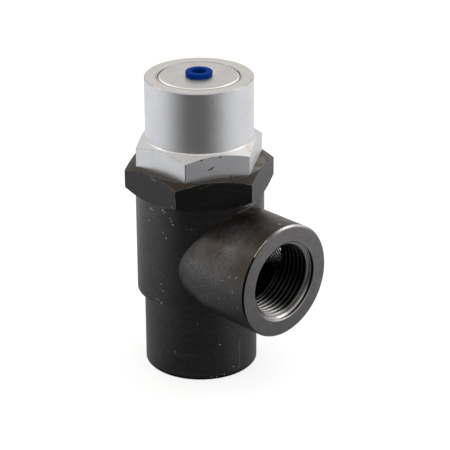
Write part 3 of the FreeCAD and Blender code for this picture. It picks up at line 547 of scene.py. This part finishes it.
def mouth_groove_shade(shader):
    """1 in the groove where the outlet's thread starts, widest at the lower far side; it carries painted
    shade.
    """
    height = shader.math("SUBTRACT", shader.z, BOSS_HEIGHT)
    level = shader.vector("NORMALIZE", shader.join(shader.y, height, 0.0))
    width = shader.smooth(shader.towards(level, GROOVE_ANGLE), *GROOVE_SPREAD, -GROOVE_EDGE, GROOVE_WIDTH)
    away = shader.math("ABSOLUTE", shader.math("SUBTRACT", shader.x, GROOVE_PLACE))
    return shader.span(shader.math("SUBTRACT", width, away), 0.0, GROOVE_EDGE)


def black_skin(shader, mottle, boss):
    """The mottled skin: finer on the turned barrel, rougher and worn on the boss, paler on its face, with
    painted light on the boss's underside.
    """
    sand = shader.noise(shader.place, scale=2.6, detail=3.0, roughness=0.8)
    plain = shader.mix(shader.span(mottle, 0.32, 0.68), *SKIN)
    worn = shader.mix(shader.span(mottle, 0.40, 0.60), *BOSS_SKIN)
    base = shader.mix(boss, plain, worn)
    sandy = shader.times(shader.span(sand, 0.45, 0.62), shader.mix_value(boss, 0.45, 0.8))
    base = shader.tint(base, sandy, SAND)
    base = shader.tint(base, shader.above(shader.x, FACE_START), FACED, share=0.75)
    # painted light on the boss's underside
    under = shader.times(shader.smooth(shader.up, *UNDERSIDE_FACING), boss)
    return shader.tint(base, under, UNDERSIDE_LIGHT, share=0.6)


def hexagon_tones(shader, base):
    """The black hexagon: painted shade on its flanks, chamfers and ledge, and painted light on the ledge on
    the outlet's far side.
    """
    hexagon = shader.above(shader.z, HEX_FOOT)
    far_side = shader.smooth(shader.round_side(FAR_FLANK), *FAR_SIDE)
    # painted shade on the chamfers
    chamfer_shade = shader.times(
        shader.band(shader.up, *CHAMFER_FACING),
        hexagon,
        shader.span(far_side, 0, 1, *CHAMFER_SHARES),
    )
    base = shader.tint(base, chamfer_shade, CHAMFER_SHADE)
    ledge = shader.times(shader.above(shader.up, LEDGE_FACING), hexagon)
    # painted shade on the ledge
    base = shader.tint(base, ledge, LEDGE_SHADE, share=0.5)
    # painted light on the far side's ledge
    base = shader.tint(base, shader.times(ledge, far_side), FAR_LEDGE_LIGHT)
    # painted shade on the flanks
    flanks = ((1, FLANK_SHADE, 0.6), (2, FLANK_SHADE, 0.5), (0, FAR_FLANK_SHADE, 0.95))
    for turns, colour, share in flanks:
        flank = shader.times(shader.flank(FAR_FLANK - turns * HEX_TURN), hexagon)
        base = shader.tint(base, flank, colour, share)
    return base


def stains_and_foot_shade(shader, base, boss, coarse):
    """Blotches, brown staining where the skin faces up, pale turning streaks, and painted shade along the
    foot.
    """
    blotch = shader.noise(shader.place, scale=0.22, detail=5.0, roughness=0.65)
    base = shader.tint(base, shader.span(blotch, 0.35, 0.65), BLOTCH, share=0.25)
    cloud = shader.noise(shader.place, scale=0.07, detail=3.0)
    brown = shader.times(shader.span(cloud, 0.36, 0.56), shader.span(shader.up, *BROWN_FACING, 0.12, 0.8))
    base = shader.tint(base, brown, BROWN)
    warm = shader.times(shader.smooth(shader.x, *WARM_PLACE), shader.smooth(shader.up, *WARM_FACING), boss)
    base = shader.tint(base, warm, WARM, share=0.6)
    base = shader.tint(base, shader.span(coarse, 0.58, 0.75), STREAK, share=0.25)
    # painted shade along the foot
    foot = shader.smooth(shader.z, *FOOT_HEIGHT, 1.0, 0.0)
    return shader.tint(base, foot, FOOT_SHADE, share=0.85)


def outlet_edges(shader, base, height):
    """Round the outlet: painted shade on the near edge, a painted glint on top of the rim, a bright mouth
    with painted shade in its groove, and painted shade deep in the bore.
    """
    from_axis = shader.length(shader.y, height)
    at_edge = shader.above(shader.x, EDGE_START)
    shaded = shader.times(
        shader.span(from_axis, *SHADED_RADIUS),
        at_edge,
        shader.smooth(shader.y, *SHADED_SIDE),
        shader.smooth(height, *SHADED_HEIGHT),
    )
    base = shader.tint(base, shaded, SHADED, share=0.9)
    glint = shader.times(
        shader.smooth(from_axis, *GLINT_RADIUS),
        shader.smooth(height, *GLINT_HEIGHT),
        shader.smooth(shader.y, *GLINT_SIDE, 0.12, 0.95),
        at_edge,
    )
    base = shader.tint(base, glint, GLINT)
    mouth = shader.times(shader.below(from_axis, MOUTH_RADIUS), at_edge)
    base = shader.tint(base, mouth, MOUTH, share=0.9)
    # painted shade in the groove
    base = shader.tint(base, shader.times(mouth_groove_shade(shader), mouth), GROOVE_SHADE)
    # painted shade deep in the bore
    inside = shader.times(
        shader.below(from_axis, INSIDE_RADIUS),
        shader.span(shader.x, *INSIDE_FRONT),
        shader.above(shader.x, INSIDE_BACK),
    )
    return shader.tint(base, inside, INSIDE_SHADE)


def marks_of_use_and_light(shader, base):
    """Bare rim with a painted glint, scratches, pale lines of painted light at the boss's root, faint
    lines, chips and dust on the skin, with the mask of those that are matt.
    """
    # bare rim with a painted glint
    base = shader.tint(base, shader.strokes(RIM_WEAR_AND_GLINT, width=0.22, ragged=0.3), RIM_METAL_AND_GLINT)
    broken = shader.span(shader.noise(shader.place, scale=2.2, detail=3.0, roughness=0.8), 0.40, 0.56)
    scratches = shader.times(shader.strokes(SCRATCHES, width=0.30, ragged=0.6), broken)
    base = shader.tint(base, scratches, SCRATCH, share=0.75)
    # painted light at the boss's root
    base = shader.tint(base, shader.strokes(ROOT_LIGHT_LINES, width=0.42, ragged=0.8), ROOT_LIGHT, share=0.55)
    base = shader.tint(base, shader.strokes(FAINT_LINES, width=0.22, ragged=0.5), SCRATCH, share=0.22)
    chips = shader.flecks(CHIPS, ragged=1.5)
    base = shader.tint(base, chips, CHIP, share=0.85)
    dust = shader.highest(
        shader.specks(spacing=6.0, size=0.42, share=0.10),
        shader.specks(spacing=4.5, size=0.24, share=0.12, stretch=(1.0, 0.35, 0.6)),
    )
    base = shader.tint(base, dust, DUST, share=0.6)
    return base, shader.highest(scratches, chips, dust)


def blackened_steel():
    """Turned and blackened steel: satin and mottled, with staining, chips, scratches, worn edges, and
    painted light and painted shade.
    """
    shader = Shader("blackened_steel")
    boss = on_outlet(shader)
    height = shader.math("SUBTRACT", shader.z, BOSS_HEIGHT)
    barrel_rings = shader.rings(shader.z, shader.x, shader.y)
    boss_rings = shader.rings(shader.x, shader.y, height)
    rings = shader.mix(boss, barrel_rings, boss_rings)
    coarse = shader.noise(rings, scale=0.9, detail=3.0, roughness=0.6)
    fine = shader.noise(rings, scale=5.0, detail=2.0, roughness=0.6)
    mottle = shader.noise(shader.place, scale=1.3, detail=6.0, roughness=0.75)

    base = black_skin(shader, mottle, boss)
    base = hexagon_tones(shader, base)
    base = stains_and_foot_shade(shader, base, boss, coarse)
    patchy = shader.span(shader.noise(shader.place, scale=0.30, detail=4.0, roughness=0.7), 0.46, 0.60)
    base = shader.tint(base, shader.times(shader.worn_edges(0.45 * MM), patchy), BARE_EDGE, share=0.6)
    base = outlet_edges(shader, base, height)
    base, matt = marks_of_use_and_light(shader, base)

    rough = shader.span(coarse, *NOISE_RANGE, 0.33, 0.44)
    rough = shader.math("ADD", rough, shader.span(mottle, *NOISE_RANGE, -0.05, 0.06))
    rough = shader.mix_value(shader.times(matt, 0.6), rough, 0.9)
    relief = shader.math("MULTIPLY_ADD", fine, 0.6, mottle)
    return shader.finish(
        Base_Color=base,
        Metallic=1.0,
        Roughness=rough,
        Normal=shader.bump(relief, 0.016 * MM),
    )


# anodised cap: colours, painted light and painted shade, and where they lie
CAP_SIDE = (0.72, 0.72, 0.735), (0.77, 0.77, 0.785)
CAP_FACED = (0.66, 0.645, 0.63), (0.76, 0.745, 0.73)
TOP_FACING = 0.75, 0.9
GRIME_AND_SHADE = (0.09, 0.088, 0.09)
# painted shade on the cap's top beside the plug, on the dark side
GAP_SHADE = (0.24, 0.22, 0.20)
GAP_SHADE_RADIUS, GAP_SHADE_HEIGHT = (PLUG_RADIUS + 1.25, PLUG_RADIUS + 0.6), CAP_TOP - 0.6
GAP_SHADE_SIDE = -0.25, 0.25
# painted shade that dulls the cap's upper edge
CAP_EDGE_SHADE = (0.40, 0.39, 0.38)
CAP_EDGE_FACING, CAP_EDGE_HEIGHT = ((0.1, 0.3), (0.95, 0.85)), CAP_TOP - 1.2
# painted light on the cap hexagon's tops on one side
LIT_TOP = (0.97, 0.96, 0.95)
LIT_TOP_ANGLE, LIT_TOP_SIDE = 10, (0.80, 0.97)
# dents painted dark: painted shade in the dents
DENT_SHADE = (0.035, 0.033, 0.032)
YELLOW_STAIN, RUST_SPOT = (0.78, 0.74, 0.54), (0.62, 0.42, 0.24)
CAP_MARK, SCUFF = (0.20, 0.20, 0.21), (0.35, 0.35, 0.36)


def cap_dirt_and_shade(shader, base, top):
    """Dirt in the edges, painted shade down one corner and beside the plug, and painted shade on the cap's
    upper edge.
    """
    patchy = shader.span(shader.noise(shader.place, scale=0.45, detail=4.0, roughness=0.7), 0.44, 0.54)
    grime_and_shade = shader.times(patchy, shader.worn_edges(0.4 * MM), 0.75)
    # painted shade down a corner, with the dirt in the edges
    grime_and_shade = shader.highest(grime_and_shade, shader.strokes(CORNER_SHADE_LINES, width=0.32, ragged=0.3))
    base = shader.tint(base, grime_and_shade, GRIME_AND_SHADE)
    # painted shade beside the plug
    gap_shade = shader.times(
        shader.span(shader.length(shader.x, shader.y), *GAP_SHADE_RADIUS),
        top,
        shader.above(shader.z, GAP_SHADE_HEIGHT),
        shader.smooth(shader.round_side(DARK_AZIMUTH), *GAP_SHADE_SIDE),
    )
    base = shader.tint(base, gap_shade, GAP_SHADE, share=0.65)
    # painted shade on the upper edge
    edge = shader.times(shader.band(shader.up, *CAP_EDGE_FACING), shader.above(shader.z, CAP_EDGE_HEIGHT))
    return shader.tint(base, edge, CAP_EDGE_SHADE, share=0.5)


def cap_marks(shader, base):
    """Dents in painted shade, a yellow stain with rusty spots, a dark spot on the barrel, and scuffs."""
    # painted shade in the dents
    dents = shader.strokes(DENTS, width=0.30, ragged=0.9)
    dents = shader.highest(dents, shader.flecks(DENT_SPOTS, ragged=1.2))
    base = shader.tint(base, dents, DENT_SHADE, share=0.92)
    base = shader.tint(base, shader.strokes(STAIN, width=1.9, ragged=2.2), YELLOW_STAIN, share=0.55)
    base = shader.tint(base, shader.flecks(STAIN_SPOTS, ragged=0.6), RUST_SPOT, share=0.5)
    base = shader.tint(base, shader.flecks(CAP_MARKS, ragged=0.4), CAP_MARK, share=0.6)
    scuffs = shader.specks(spacing=7.0, size=0.3, share=0.10, stretch=(0.4, 1.0, 1.0))
    return shader.tint(base, scuffs, SCUFF, share=0.3)


def anodised_aluminium():
    """Turned and clear anodised: pale, satin, warmer on its faced tops, with dents in painted shade, dirt,
    a stain, painted light on the hexagon's tops on one side, and painted highlights down two corners.
    """
    shader = Shader("anodised_aluminium")
    rings = shader.rings(shader.z, shader.x, shader.y)
    coarse = shader.noise(rings, scale=1.2, detail=3.0, roughness=0.6)
    fine = shader.noise(rings, scale=6.0, detail=2.0, roughness=0.6)
    mottle = shader.noise(shader.place, scale=0.9, detail=5.0, roughness=0.7)
    cloud = shader.noise(shader.place, scale=0.12, detail=4.0, roughness=0.6)
    top = shader.span(shader.up, *TOP_FACING)
    hexagon = shader.below(shader.z, CAP_HEX_TOP)

    side = shader.mix(shader.span(cloud, 0.35, 0.65), *CAP_SIDE)
    faced = shader.mix(shader.span(mottle, *NOISE_RANGE), *CAP_FACED)
    base = cap_dirt_and_shade(shader, shader.mix(top, side, faced), top)
    # painted light on the hexagon's tops
    pale = shader.times(shader.smooth(shader.round_side(LIT_TOP_ANGLE), *LIT_TOP_SIDE), top, hexagon)
    base = shader.tint(base, pale, LIT_TOP, share=0.8)
    # painted highlights down two corners
    bright = shader.strokes(HIGHLIGHT_EDGES, width=0.24, ragged=0.2)
    base = shader.tint(base, bright, WHITE, share=0.8)
    base = cap_marks(shader, base)

    chalky = shader.highest(
        shader.times(shader.flank(CAP_FAR_FLANK), hexagon, 0.8),
        shader.times(shader.rest_of(hexagon), shader.rest_of(top), 0.08),
        shader.times(bright, 0.7),
    )
    return shader.finish(
        Base_Color=base,
        Metallic=shader.rest_of(chalky),
        Roughness=shader.mix_value(top, shader.span(coarse, *NOISE_RANGE, 0.33, 0.41), 0.46),
        Normal=shader.bump(shader.math("MULTIPLY_ADD", top, mottle, fine), 0.007 * MM),
    )


# plug: face, bevel with a painted highlight, and spots
PLUG_FACE = (0.62, 0.612, 0.60), (0.69, 0.675, 0.655)
# the bevel painted near white: a painted highlight
BEVEL_HIGHLIGHT = (0.97, 0.965, 0.95)
BEVEL_FACING = (0.2, 0.4), (0.97, 0.90)
PLUG_SPOT = (0.30, 0.30, 0.30)


def plug_aluminium():
    """The plug: a matt face turned in fine rings, with a bevel round it painted near white as a highlight.
    """
    shader = Shader("plug_aluminium")
    rings = shader.rings(shader.z, shader.x, shader.y)
    fine = shader.noise(rings, scale=4.0, detail=3.0, roughness=0.6)
    cloud = shader.noise(shader.place, scale=0.16, detail=4.0, roughness=0.6)
    base = shader.mix(shader.span(cloud, 0.35, 0.65), *PLUG_FACE)
    # painted highlight on the bevel
    base = shader.tint(base, shader.band(shader.up, *BEVEL_FACING), BEVEL_HIGHLIGHT)
    base = shader.tint(base, shader.specks(spacing=5.0, size=0.3, share=0.12), PLUG_SPOT, share=0.35)
    return shader.finish(
        Base_Color=base,
        Metallic=1.0,
        Roughness=shader.span(fine, *NOISE_RANGE, 0.40, 0.50),
        Normal=shader.bump(fine, 0.008 * MM),
    )


def turned_metal(name, base, roughness):
    """A plain turned metal."""
    shader = Shader(name)
    rings = shader.rings(shader.z, shader.x, shader.y)
    fine = shader.noise(rings, scale=4.0, detail=3.0, roughness=0.6)
    dull = [0.82 * part for part in base]
    return shader.finish(
        Base_Color=shader.mix(shader.span(fine, *NOISE_RANGE), dull, base),
        Metallic=1.0,
        Roughness=shader.span(fine, *NOISE_RANGE, roughness - 0.06, roughness + 0.06),
        Normal=shader.bump(fine, 0.006 * MM),
    )


def moulded(name, base, roughness, grain, gloss):
    """A moulded rubber or plastic: even colour with a fine grain."""
    shader = Shader(name)
    mottle = shader.noise(shader.place, scale=grain, detail=4.0, roughness=0.6)
    deep = [0.8 * part for part in base]
    return shader.finish(
        Base_Color=shader.mix(shader.span(mottle, *NOISE_RANGE), deep, base),
        Specular_IOR_Level=gloss,
        Roughness=shader.span(mottle, *NOISE_RANGE, roughness - 0.05, roughness + 0.05),
        Normal=shader.bump(mottle, 0.004 * MM),
    )


# cut threads: colours, painted light and painted shade, and where they lie in the outlet and the gauge port
THREAD_SKIN = (0.028, 0.027, 0.027), (0.048, 0.046, 0.045)
# worn bright at the outlet's mouth, and painted light on the lower floor of its thread
RUBBED_AND_LIT = (0.44, 0.435, 0.43)
RUBBED_PLACE = 46.6, 48.4
THREAD_FLOOR, THREAD_FLOOR_PLACE, THREAD_FLOOR_LEAN = (-11.0, -17.0), (28, 34), 0.45
# painted shade: the threads darker deeper in
DEEP_SHADE_PLACE = 34, 31
GAUGE_PLACE = mounts["gauge_port"]["pos_m"][0] / MM
GAUGE_SIDE, GAUGE_LIMIT = 13.0, 33.5
GAUGE_CREST = mounts["gauge_port"]["dims"]["r_mm"] - THREAD_RISE * GAUGE_PITCH / MM
CREST_RADIUS = GAUGE_CREST + 0.45, GAUGE_CREST + 0.2
CREST_PLACE, CREST_HEIGHT = (13, 20), (-6.2, -4.4)
# painted shade in the gauge port's thread, with painted highlights on its crests
GAUGE_ROOT_SHADE, GAUGE_CREST_HIGHLIGHT = (0.016, 0.016, 0.016), (0.50, 0.50, 0.50)


def thread_steel():
    """Cut threads: black and oily, worn bright at the outlet's mouth, painted light on its lower floor,
    painted shade deeper in and in the groove, and painted highlights on the gauge's crests over painted
    shade.
    """
    shader = Shader("thread_steel")
    mottle = shader.noise(shader.place, scale=1.1, detail=4.0, roughness=0.6)
    height = shader.math("SUBTRACT", shader.z, BOSS_HEIGHT)
    base = shader.mix(shader.span(mottle, *NOISE_RANGE), *THREAD_SKIN)
    # painted shade deeper in the outlet
    deep = shader.span(shader.x, *DEEP_SHADE_PLACE, 1.0, 0.3)
    base = shader.vector("MULTIPLY", base, shader.join(deep, deep, deep))
    # painted light on the lower floor, with the worn band at the mouth
    lean = shader.math("MULTIPLY_ADD", shader.y, THREAD_FLOOR_LEAN, height)
    lit_floor = shader.times(shader.smooth(lean, *THREAD_FLOOR), shader.span(shader.x, *THREAD_FLOOR_PLACE))
    rubbed_and_lit = shader.highest(shader.span(shader.x, *RUBBED_PLACE, 0, 0.9), lit_floor)
    base = shader.tint(base, rubbed_and_lit, RUBBED_AND_LIT)
    # painted shade in the groove
    base = shader.tint(base, mouth_groove_shade(shader), GROOVE_SHADE)

    # painted shade in the gauge port, painted highlights on its crests
    gauge = shader.times(shader.above(shader.y, GAUGE_SIDE), shader.below(shader.x, GAUGE_LIMIT))
    crest_highlight = shader.times(
        shader.span(shader.length(shader.math("SUBTRACT", shader.x, GAUGE_PLACE), height), *CREST_RADIUS),
        shader.span(shader.y, *CREST_PLACE),
        shader.smooth(height, *CREST_HEIGHT, 0.25, 1.0),
    )
    base = shader.tint(base, gauge, shader.mix(crest_highlight, GAUGE_ROOT_SHADE, GAUGE_CREST_HIGHLIGHT))
    return shader.finish(
        Base_Color=base,
        Metallic=1.0,
        Roughness=shader.span(mottle, *NOISE_RANGE, 0.24, 0.32),
        Normal=shader.bump(mottle, 0.006 * MM),
    )


# finishes of the parts inside
TURNED = {
    "machined_aluminium": {"base": (0.66, 0.66, 0.67), "roughness": 0.34},
    "stainless_steel": {"base": (0.55, 0.54, 0.52), "roughness": 0.30},
    "spring_steel": {"base": (0.32, 0.32, 0.33), "roughness": 0.34},
    "bronze": {"base": (0.58, 0.38, 0.19), "roughness": 0.34},
    "collar_brass": {"base": (0.78, 0.60, 0.30), "roughness": 0.30},
}
MOULDED = {
    "black_rubber": {"base": (0.020, 0.020, 0.020), "roughness": 0.55, "grain": 2.0, "gloss": 0.5},
    "white_plastic": {"base": (0.80, 0.79, 0.76), "roughness": 0.45, "grain": 0.8, "gloss": 0.5},
    "blue_plastic": {"base": (0.002, 0.046, 0.290), "roughness": 0.50, "grain": 0.5, "gloss": 0.015},
}


def make_finishes():
    """One material for each slot of the record, and one for the cut threads."""
    made = {
        "blackened_steel": blackened_steel(),
        "anodised_aluminium": anodised_aluminium(),
        "plug_aluminium": plug_aluminium(),
        "thread_steel": thread_steel(),
    }
    for slot, look in TURNED.items():
        made[slot] = turned_metal(slot, **look)
    for slot, look in MOULDED.items():
        made[slot] = moulded(slot, **look)
    return made


def thread_height(phase, pitch):
    """Height of the Whitworth form above its root, at a share of the pitch from a root's middle."""
    rise, rounding = THREAD_RISE * pitch, THREAD_ROUND * pitch
    away = min(phase % 1, 1 - phase % 1) * pitch
    curved = rounding * math.cos(THREAD_FLANK)
    if away < curved:
        return rounding - math.sqrt(rounding**2 - away**2)
    if away > pitch / 2 - curved:
        left = pitch / 2 - away
        return rise - (rounding - math.sqrt(rounding**2 - left**2))
    return rounding * (1 - math.sin(THREAD_FLANK)) + (away - curved) / math.tan(THREAD_FLANK)


def thread_radius(depth, turn, outer, pitch, flare):
    """Radius of the tapped wall at a depth below the face and a share of a turn round the axis."""
    wall = outer - thread_height(depth / pitch + turn + THREAD_START, pitch)
    wall = max(wall, outer + flare - depth)
    fading = min(max((depth - THREAD_CUT + THREAD_RUNOUT) / THREAD_RUNOUT, 0), 1)
    wall -= (wall - (outer - THREAD_RISE * pitch)) * fading
    return min(wall, outer - WALL_INSET)


def port_thread(name, mount, pitch, flare, end, cutter=None):
    """A closed sleeve that lines a port with its screw thread, down to a depth of end."""
    axis = Vector(mount["axis"])
    face = Vector(mount["pos_m"]) + axis * (flare + MOUNT_INSET)
    outer = mount["dims"]["r_mm"] * MM
    first = Vector((0, 1, 0)) if axis.y == 0 else Vector((0, 0, 1))
    second = axis.cross(first)
    start = flare + WALL_INSET
    rows = round((end - start) / pitch * ROWS_PER_PITCH)
    turns = [step / POINTS_AROUND for step in range(POINTS_AROUND)]
    rings = []
    for row in range(rows + 1):
        depth = start + (end - start) * row / rows
        radii = [thread_radius(depth, turn, outer, pitch, flare) for turn in turns]
        rings.append(circle(face - axis * depth, first, second, radii))
    for depth in (end, start):
        rings.append(circle(face - axis * depth, first, second, [outer + SLEEVE_BACKING] * POINTS_AROUND))
    mesh = mesh_from_rings(name, rings, looped=True)
    piece = new_piece(name, mesh, "blackened_steel", look="thread_steel")
    if cutter:
        trim(piece, cutter)
    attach(piece, "root")


def lathe(axis, middle, outline):
    """A closed solid turned round an axis through a point, from (distance along it, radius) pairs."""
    first = axis.orthogonal().normalized()
    second = axis.cross(first)
    rings = []
    for along, radius in outline:
        rings.append(circle(middle + axis * along, first, second, [radius] * POINTS_AROUND))
    return mesh_from_rings("cutter", rings)


def trim(piece, cutter):
    """Cut a mesh out of a piece and keep the result as its plain mesh."""
    tool = bpy.data.objects.new("cutter", cutter)
    scene.collection.objects.link(tool)
    cut = piece.modifiers.new("trim", "BOOLEAN")
    cut.operation = "DIFFERENCE"
    cut.solver = "EXACT"
    cut.object = tool
    bpy.context.view_layer.update()
    trimmed = bpy.data.meshes.new_from_object(piece.evaluated_get(bpy.context.evaluated_depsgraph_get()))
    piece.modifiers.clear()
    piece.data = trimmed
    bpy.data.objects.remove(tool)
    bpy.data.meshes.remove(cutter)


def port_threads():
    """The threads of the three ports; the gauge port's bore and the outlet's cut into each other."""
    gauge, outlet = mounts["gauge_port"], mounts["outlet_port"]
    gauge_middle = Vector((gauge["pos_m"][0], 0, gauge["pos_m"][2]))
    gauge_radius = gauge["dims"]["r_mm"] * MM
    outlet_radius = outlet["dims"]["r_mm"] * MM
    gauge_bore = lathe(Vector((0, 1, 0)), gauge_middle, [
        (0, gauge_radius),
        (GAUGE_CUTTER_LENGTH, gauge_radius),
    ])
    cut_end = OUTLET_REACH - THREAD_CUT
    outlet_bore = lathe(Vector((1, 0, 0)), Vector((0, 0, OUTLET_HEIGHT)), [
        (0, OUTLET_BORE + WALL_INSET),
        (cut_end - (outlet_radius - OUTLET_BORE), OUTLET_BORE + WALL_INSET),
        (cut_end, outlet_radius + WALL_INSET),
        (OUTLET_REACH, outlet_radius + WALL_INSET),
    ])
    port_thread("inlet_thread", mounts["inlet_port"], PORT_PITCH, PORT_FLARE, INLET_END)
    port_thread("outlet_thread", outlet, PORT_PITCH, PORT_FLARE, OUTLET_END, gauge_bore)
    port_thread("gauge_thread", gauge, GAUGE_PITCH, GAUGE_FLARE, GAUGE_END, outlet_bore)


def coil(node, wire, turns, points):
    """Rings of the smooth form of a spring node: closed, ground end turns and open turns between them."""
    low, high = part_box(node)
    runs, sides = points
    mean = high.x - wire / 2
    tip = low.z - wire / 2 + wire * GROUND_TIP
    last_tip = high.z + wire / 2 - wire * GROUND_TIP
    closed_rise = wire + COIL_GAP
    open_rise = (last_tip - tip - 2 * closed_rise) / turns
    rings = []
    for step in range(round((turns + 2) * runs) + 1):
        turn = step / runs
        rise = min(turn, 1) * closed_rise + min(max(turn - 1, 0), turns) * open_rise
        rise += max(turn - turns - 1, 0) * closed_rise
        out = azimuth(360 * turn)
        ring = []
        for side in range(sides):
            angle = math.tau * side / sides
            point = out * (mean + wire / 2 * math.cos(angle))
            point.z = min(max(tip + rise + wire / 2 * math.sin(angle), low.z), high.z)
            ring.append(point)
        rings.append(ring)
    return rings


def main_spring():
    """The main spring in three lengths: foot, middle and head."""
    low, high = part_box("main_spring")
    rings = coil("main_spring", MAIN_WIRE, MAIN_TURNS, MAIN_POINTS)
    solid = 2 * MAIN_WIRE + COIL_GAP
    half = MAIN_WIRE / 2 + COIL_GAP
    bottom, top = low.z + solid, high.z - solid
    free = top - bottom - 4 * half
    heights = [sum(point.z for point in ring) / len(ring) for ring in rings]
    foot_end = bottom + FOOT_SHARE * free + half
    head_start = top - FOOT_SHARE * free - half
    first = next(row for row, height in enumerate(heights) if height >= foot_end)
    second = next(row for row, height in enumerate(heights) if height >= head_start)
    lower, upper = heights[first], heights[second]
    lengths = [
        ("foot", rings[:first + 1], "piston_group", "check_valve", bottom, lower - half),
        ("middle", rings[first:second + 1], "check_valve", "root", lower + half, upper - half),
        ("head", rings[second:], "root", "plate_group", upper + half, top),
    ]
    for name, part, below, above, start, end in lengths:
        name = "main_spring_" + name
        piece = new_piece(name, mesh_from_rings(name, part), "spring_steel", "main_spring")
        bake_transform(piece)


def check_spring():
    """The thin spring under the piston, between the disc and the piston."""
    rings = coil("check_spring", CHECK_WIRE, CHECK_TURNS, CHECK_POINTS)
    name = "check_spring_coils"
    piece = new_piece(name, mesh_from_rings(name, rings), "spring_steel", "check_spring")
    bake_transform(piece)


def camera():
    """The photograph's view: aim at the valve, then the small turns that the fit gave."""
    angle_round = math.radians(VIEW_AZIMUTH)
    elevation = math.radians(VIEW_ELEVATION)
    back = Vector((math.sin(angle_round), -math.cos(angle_round), 0)) * math.cos(elevation)
    back.z = math.sin(elevation)
    data = bpy.data.cameras.new("camera")
    data.lens = VIEW_LENS
    data.clip_start = VIEW_CLIP
    viewer = bpy.data.objects.new("camera", data)
    looking = back.to_track_quat("Z", "Y").to_matrix().to_4x4()
    for angle, axis in ((VIEW_YAW, "Y"), (VIEW_PITCH, "X"), (VIEW_ROLL, "Z")):
        looking = looking @ Matrix.Rotation(math.radians(angle), 4, axis)
    viewer.matrix_world = Matrix.Translation(VIEW_AIM + back * VIEW_DISTANCE) @ looking
    scene.collection.objects.link(viewer)
    scene.camera = viewer


def in_dark(shader, x, y):
    """1 on the dark side of the valve, 0 on the others, from a level direction or place."""
    level = shader.vector("NORMALIZE", shader.join(x, y, 0.0))
    angle = shader.math("ARCCOSINE", shader.towards(level, DARK_AZIMUTH))
    return shader.smooth(angle, math.radians(DARK_FULL), math.radians(DARK_GONE), 1.0, 0.0)


def tent():
    """World light: pale all round and above, dark low down where the picture is taken from."""
    world = bpy.data.worlds.new("tent")
    scene.world = world
    shader = Shader(world)
    x, y, z = shader.split(shader.direction)
    dark = shader.times(in_dark(shader, x, y), shader.smooth(z, *DARK_HEIGHT, 1.0, 0.0))
    glow = shader.span(dark, 0, 1, SKY_GLOW, DARK_GLOW_FAR)
    lit = shader.node("ShaderNodeBackground", SKY_COLOUR, glow).outputs[0]
    seen = shader.node("ShaderNodeBackground", WHITE, 1.0).outputs[0]
    camera_ray = shader.node("ShaderNodeLightPath").outputs["Is Camera Ray"]
    both = shader.node("ShaderNodeMixShader", camera_ray, lit, seen).outputs[0]
    shader.node("ShaderNodeOutputWorld", both)


def floor():
    """White to the camera but for the valve's shadow; in reflections a glowing pale floor, dimmer near the
    valve as a painted shadow, and dim on the tent's dark side.
    """
    half = FLOOR_HALF
    corners = [(-half, -half, 0), (half, -half, 0), (half, half, 0), (-half, half, 0)]
    mesh = bpy.data.meshes.new("floor")
    mesh.from_pydata(corners, [], [(0, 1, 2, 3)])
    ground = bpy.data.objects.new("floor", mesh)
    ground.location.z = -FLOOR_DROP
    scene.collection.objects.link(ground)
    shader = Shader("floor")
    # dimmer near the valve in reflections: a painted shadow
    away = shader.smooth(shader.length(shader.x, shader.y), FLOOR_NEAR, FLOOR_FAR)
    pale = shader.span(away, 0, 1, FLOOR_GLOW_NEAR, FLOOR_GLOW_FAR)
    deep = shader.span(away, 0, 1, DARK_GLOW_NEAR, DARK_GLOW_FAR)
    glow = shader.mix_value(in_dark(shader, shader.x, shader.y), pale, deep)
    mirrored = shader.node("ShaderNodeEmission", FLOOR_COLOUR, glow).outputs[0]
    path = shader.node("ShaderNodeLightPath").outputs
    paper = shader.node("ShaderNodeBsdfDiffuse", PAPER_COLOUR).outputs[0]
    white = shader.times(path["Is Camera Ray"], PAPER_GLOW)
    seen = shader.node("ShaderNodeEmission", WHITE, white).outputs[0]
    seen = shader.node("ShaderNodeAddShader", paper, seen).outputs[0]
    in_glass = shader.highest(path["Is Glossy Ray"], path["Is Transmission Ray"])
    both = shader.node("ShaderNodeMixShader", in_glass, seen, mirrored).outputs[0]
    shader.node("ShaderNodeOutputMaterial", both)
    mesh.materials.append(shader.owner)


def softbox(name, level_angle, lift, distance, size, glow):
    """A square lamp that looks at the valve from an angle round it and a lift above the floor."""
    data = bpy.data.lights.new(name, "AREA")
    data.shape = "SQUARE"
    data.size = size
    data.energy = glow * math.pi * size**2
    lamp = bpy.data.objects.new(name, data)
    out = azimuth(level_angle) * math.cos(math.radians(lift))
    out.z = math.sin(math.radians(lift))
    facing = out.to_track_quat("Z", "Y").to_matrix().to_4x4()
    lamp.matrix_world = Matrix.Translation(VIEW_AIM + out * distance) @ facing
    scene.collection.objects.link(lamp)


camera()
tent()
floor()
softbox("left_box", **LEFT_BOX)
softbox("right_box", **RIGHT_BOX)
scene.view_settings.view_transform = "Standard"

finishes = make_finishes()
for name, piece in nodes.items():
    for held in piece.material_slots:
        held.material = finishes[slot_of[name]]
port_threads()
main_spring()
check_spring()
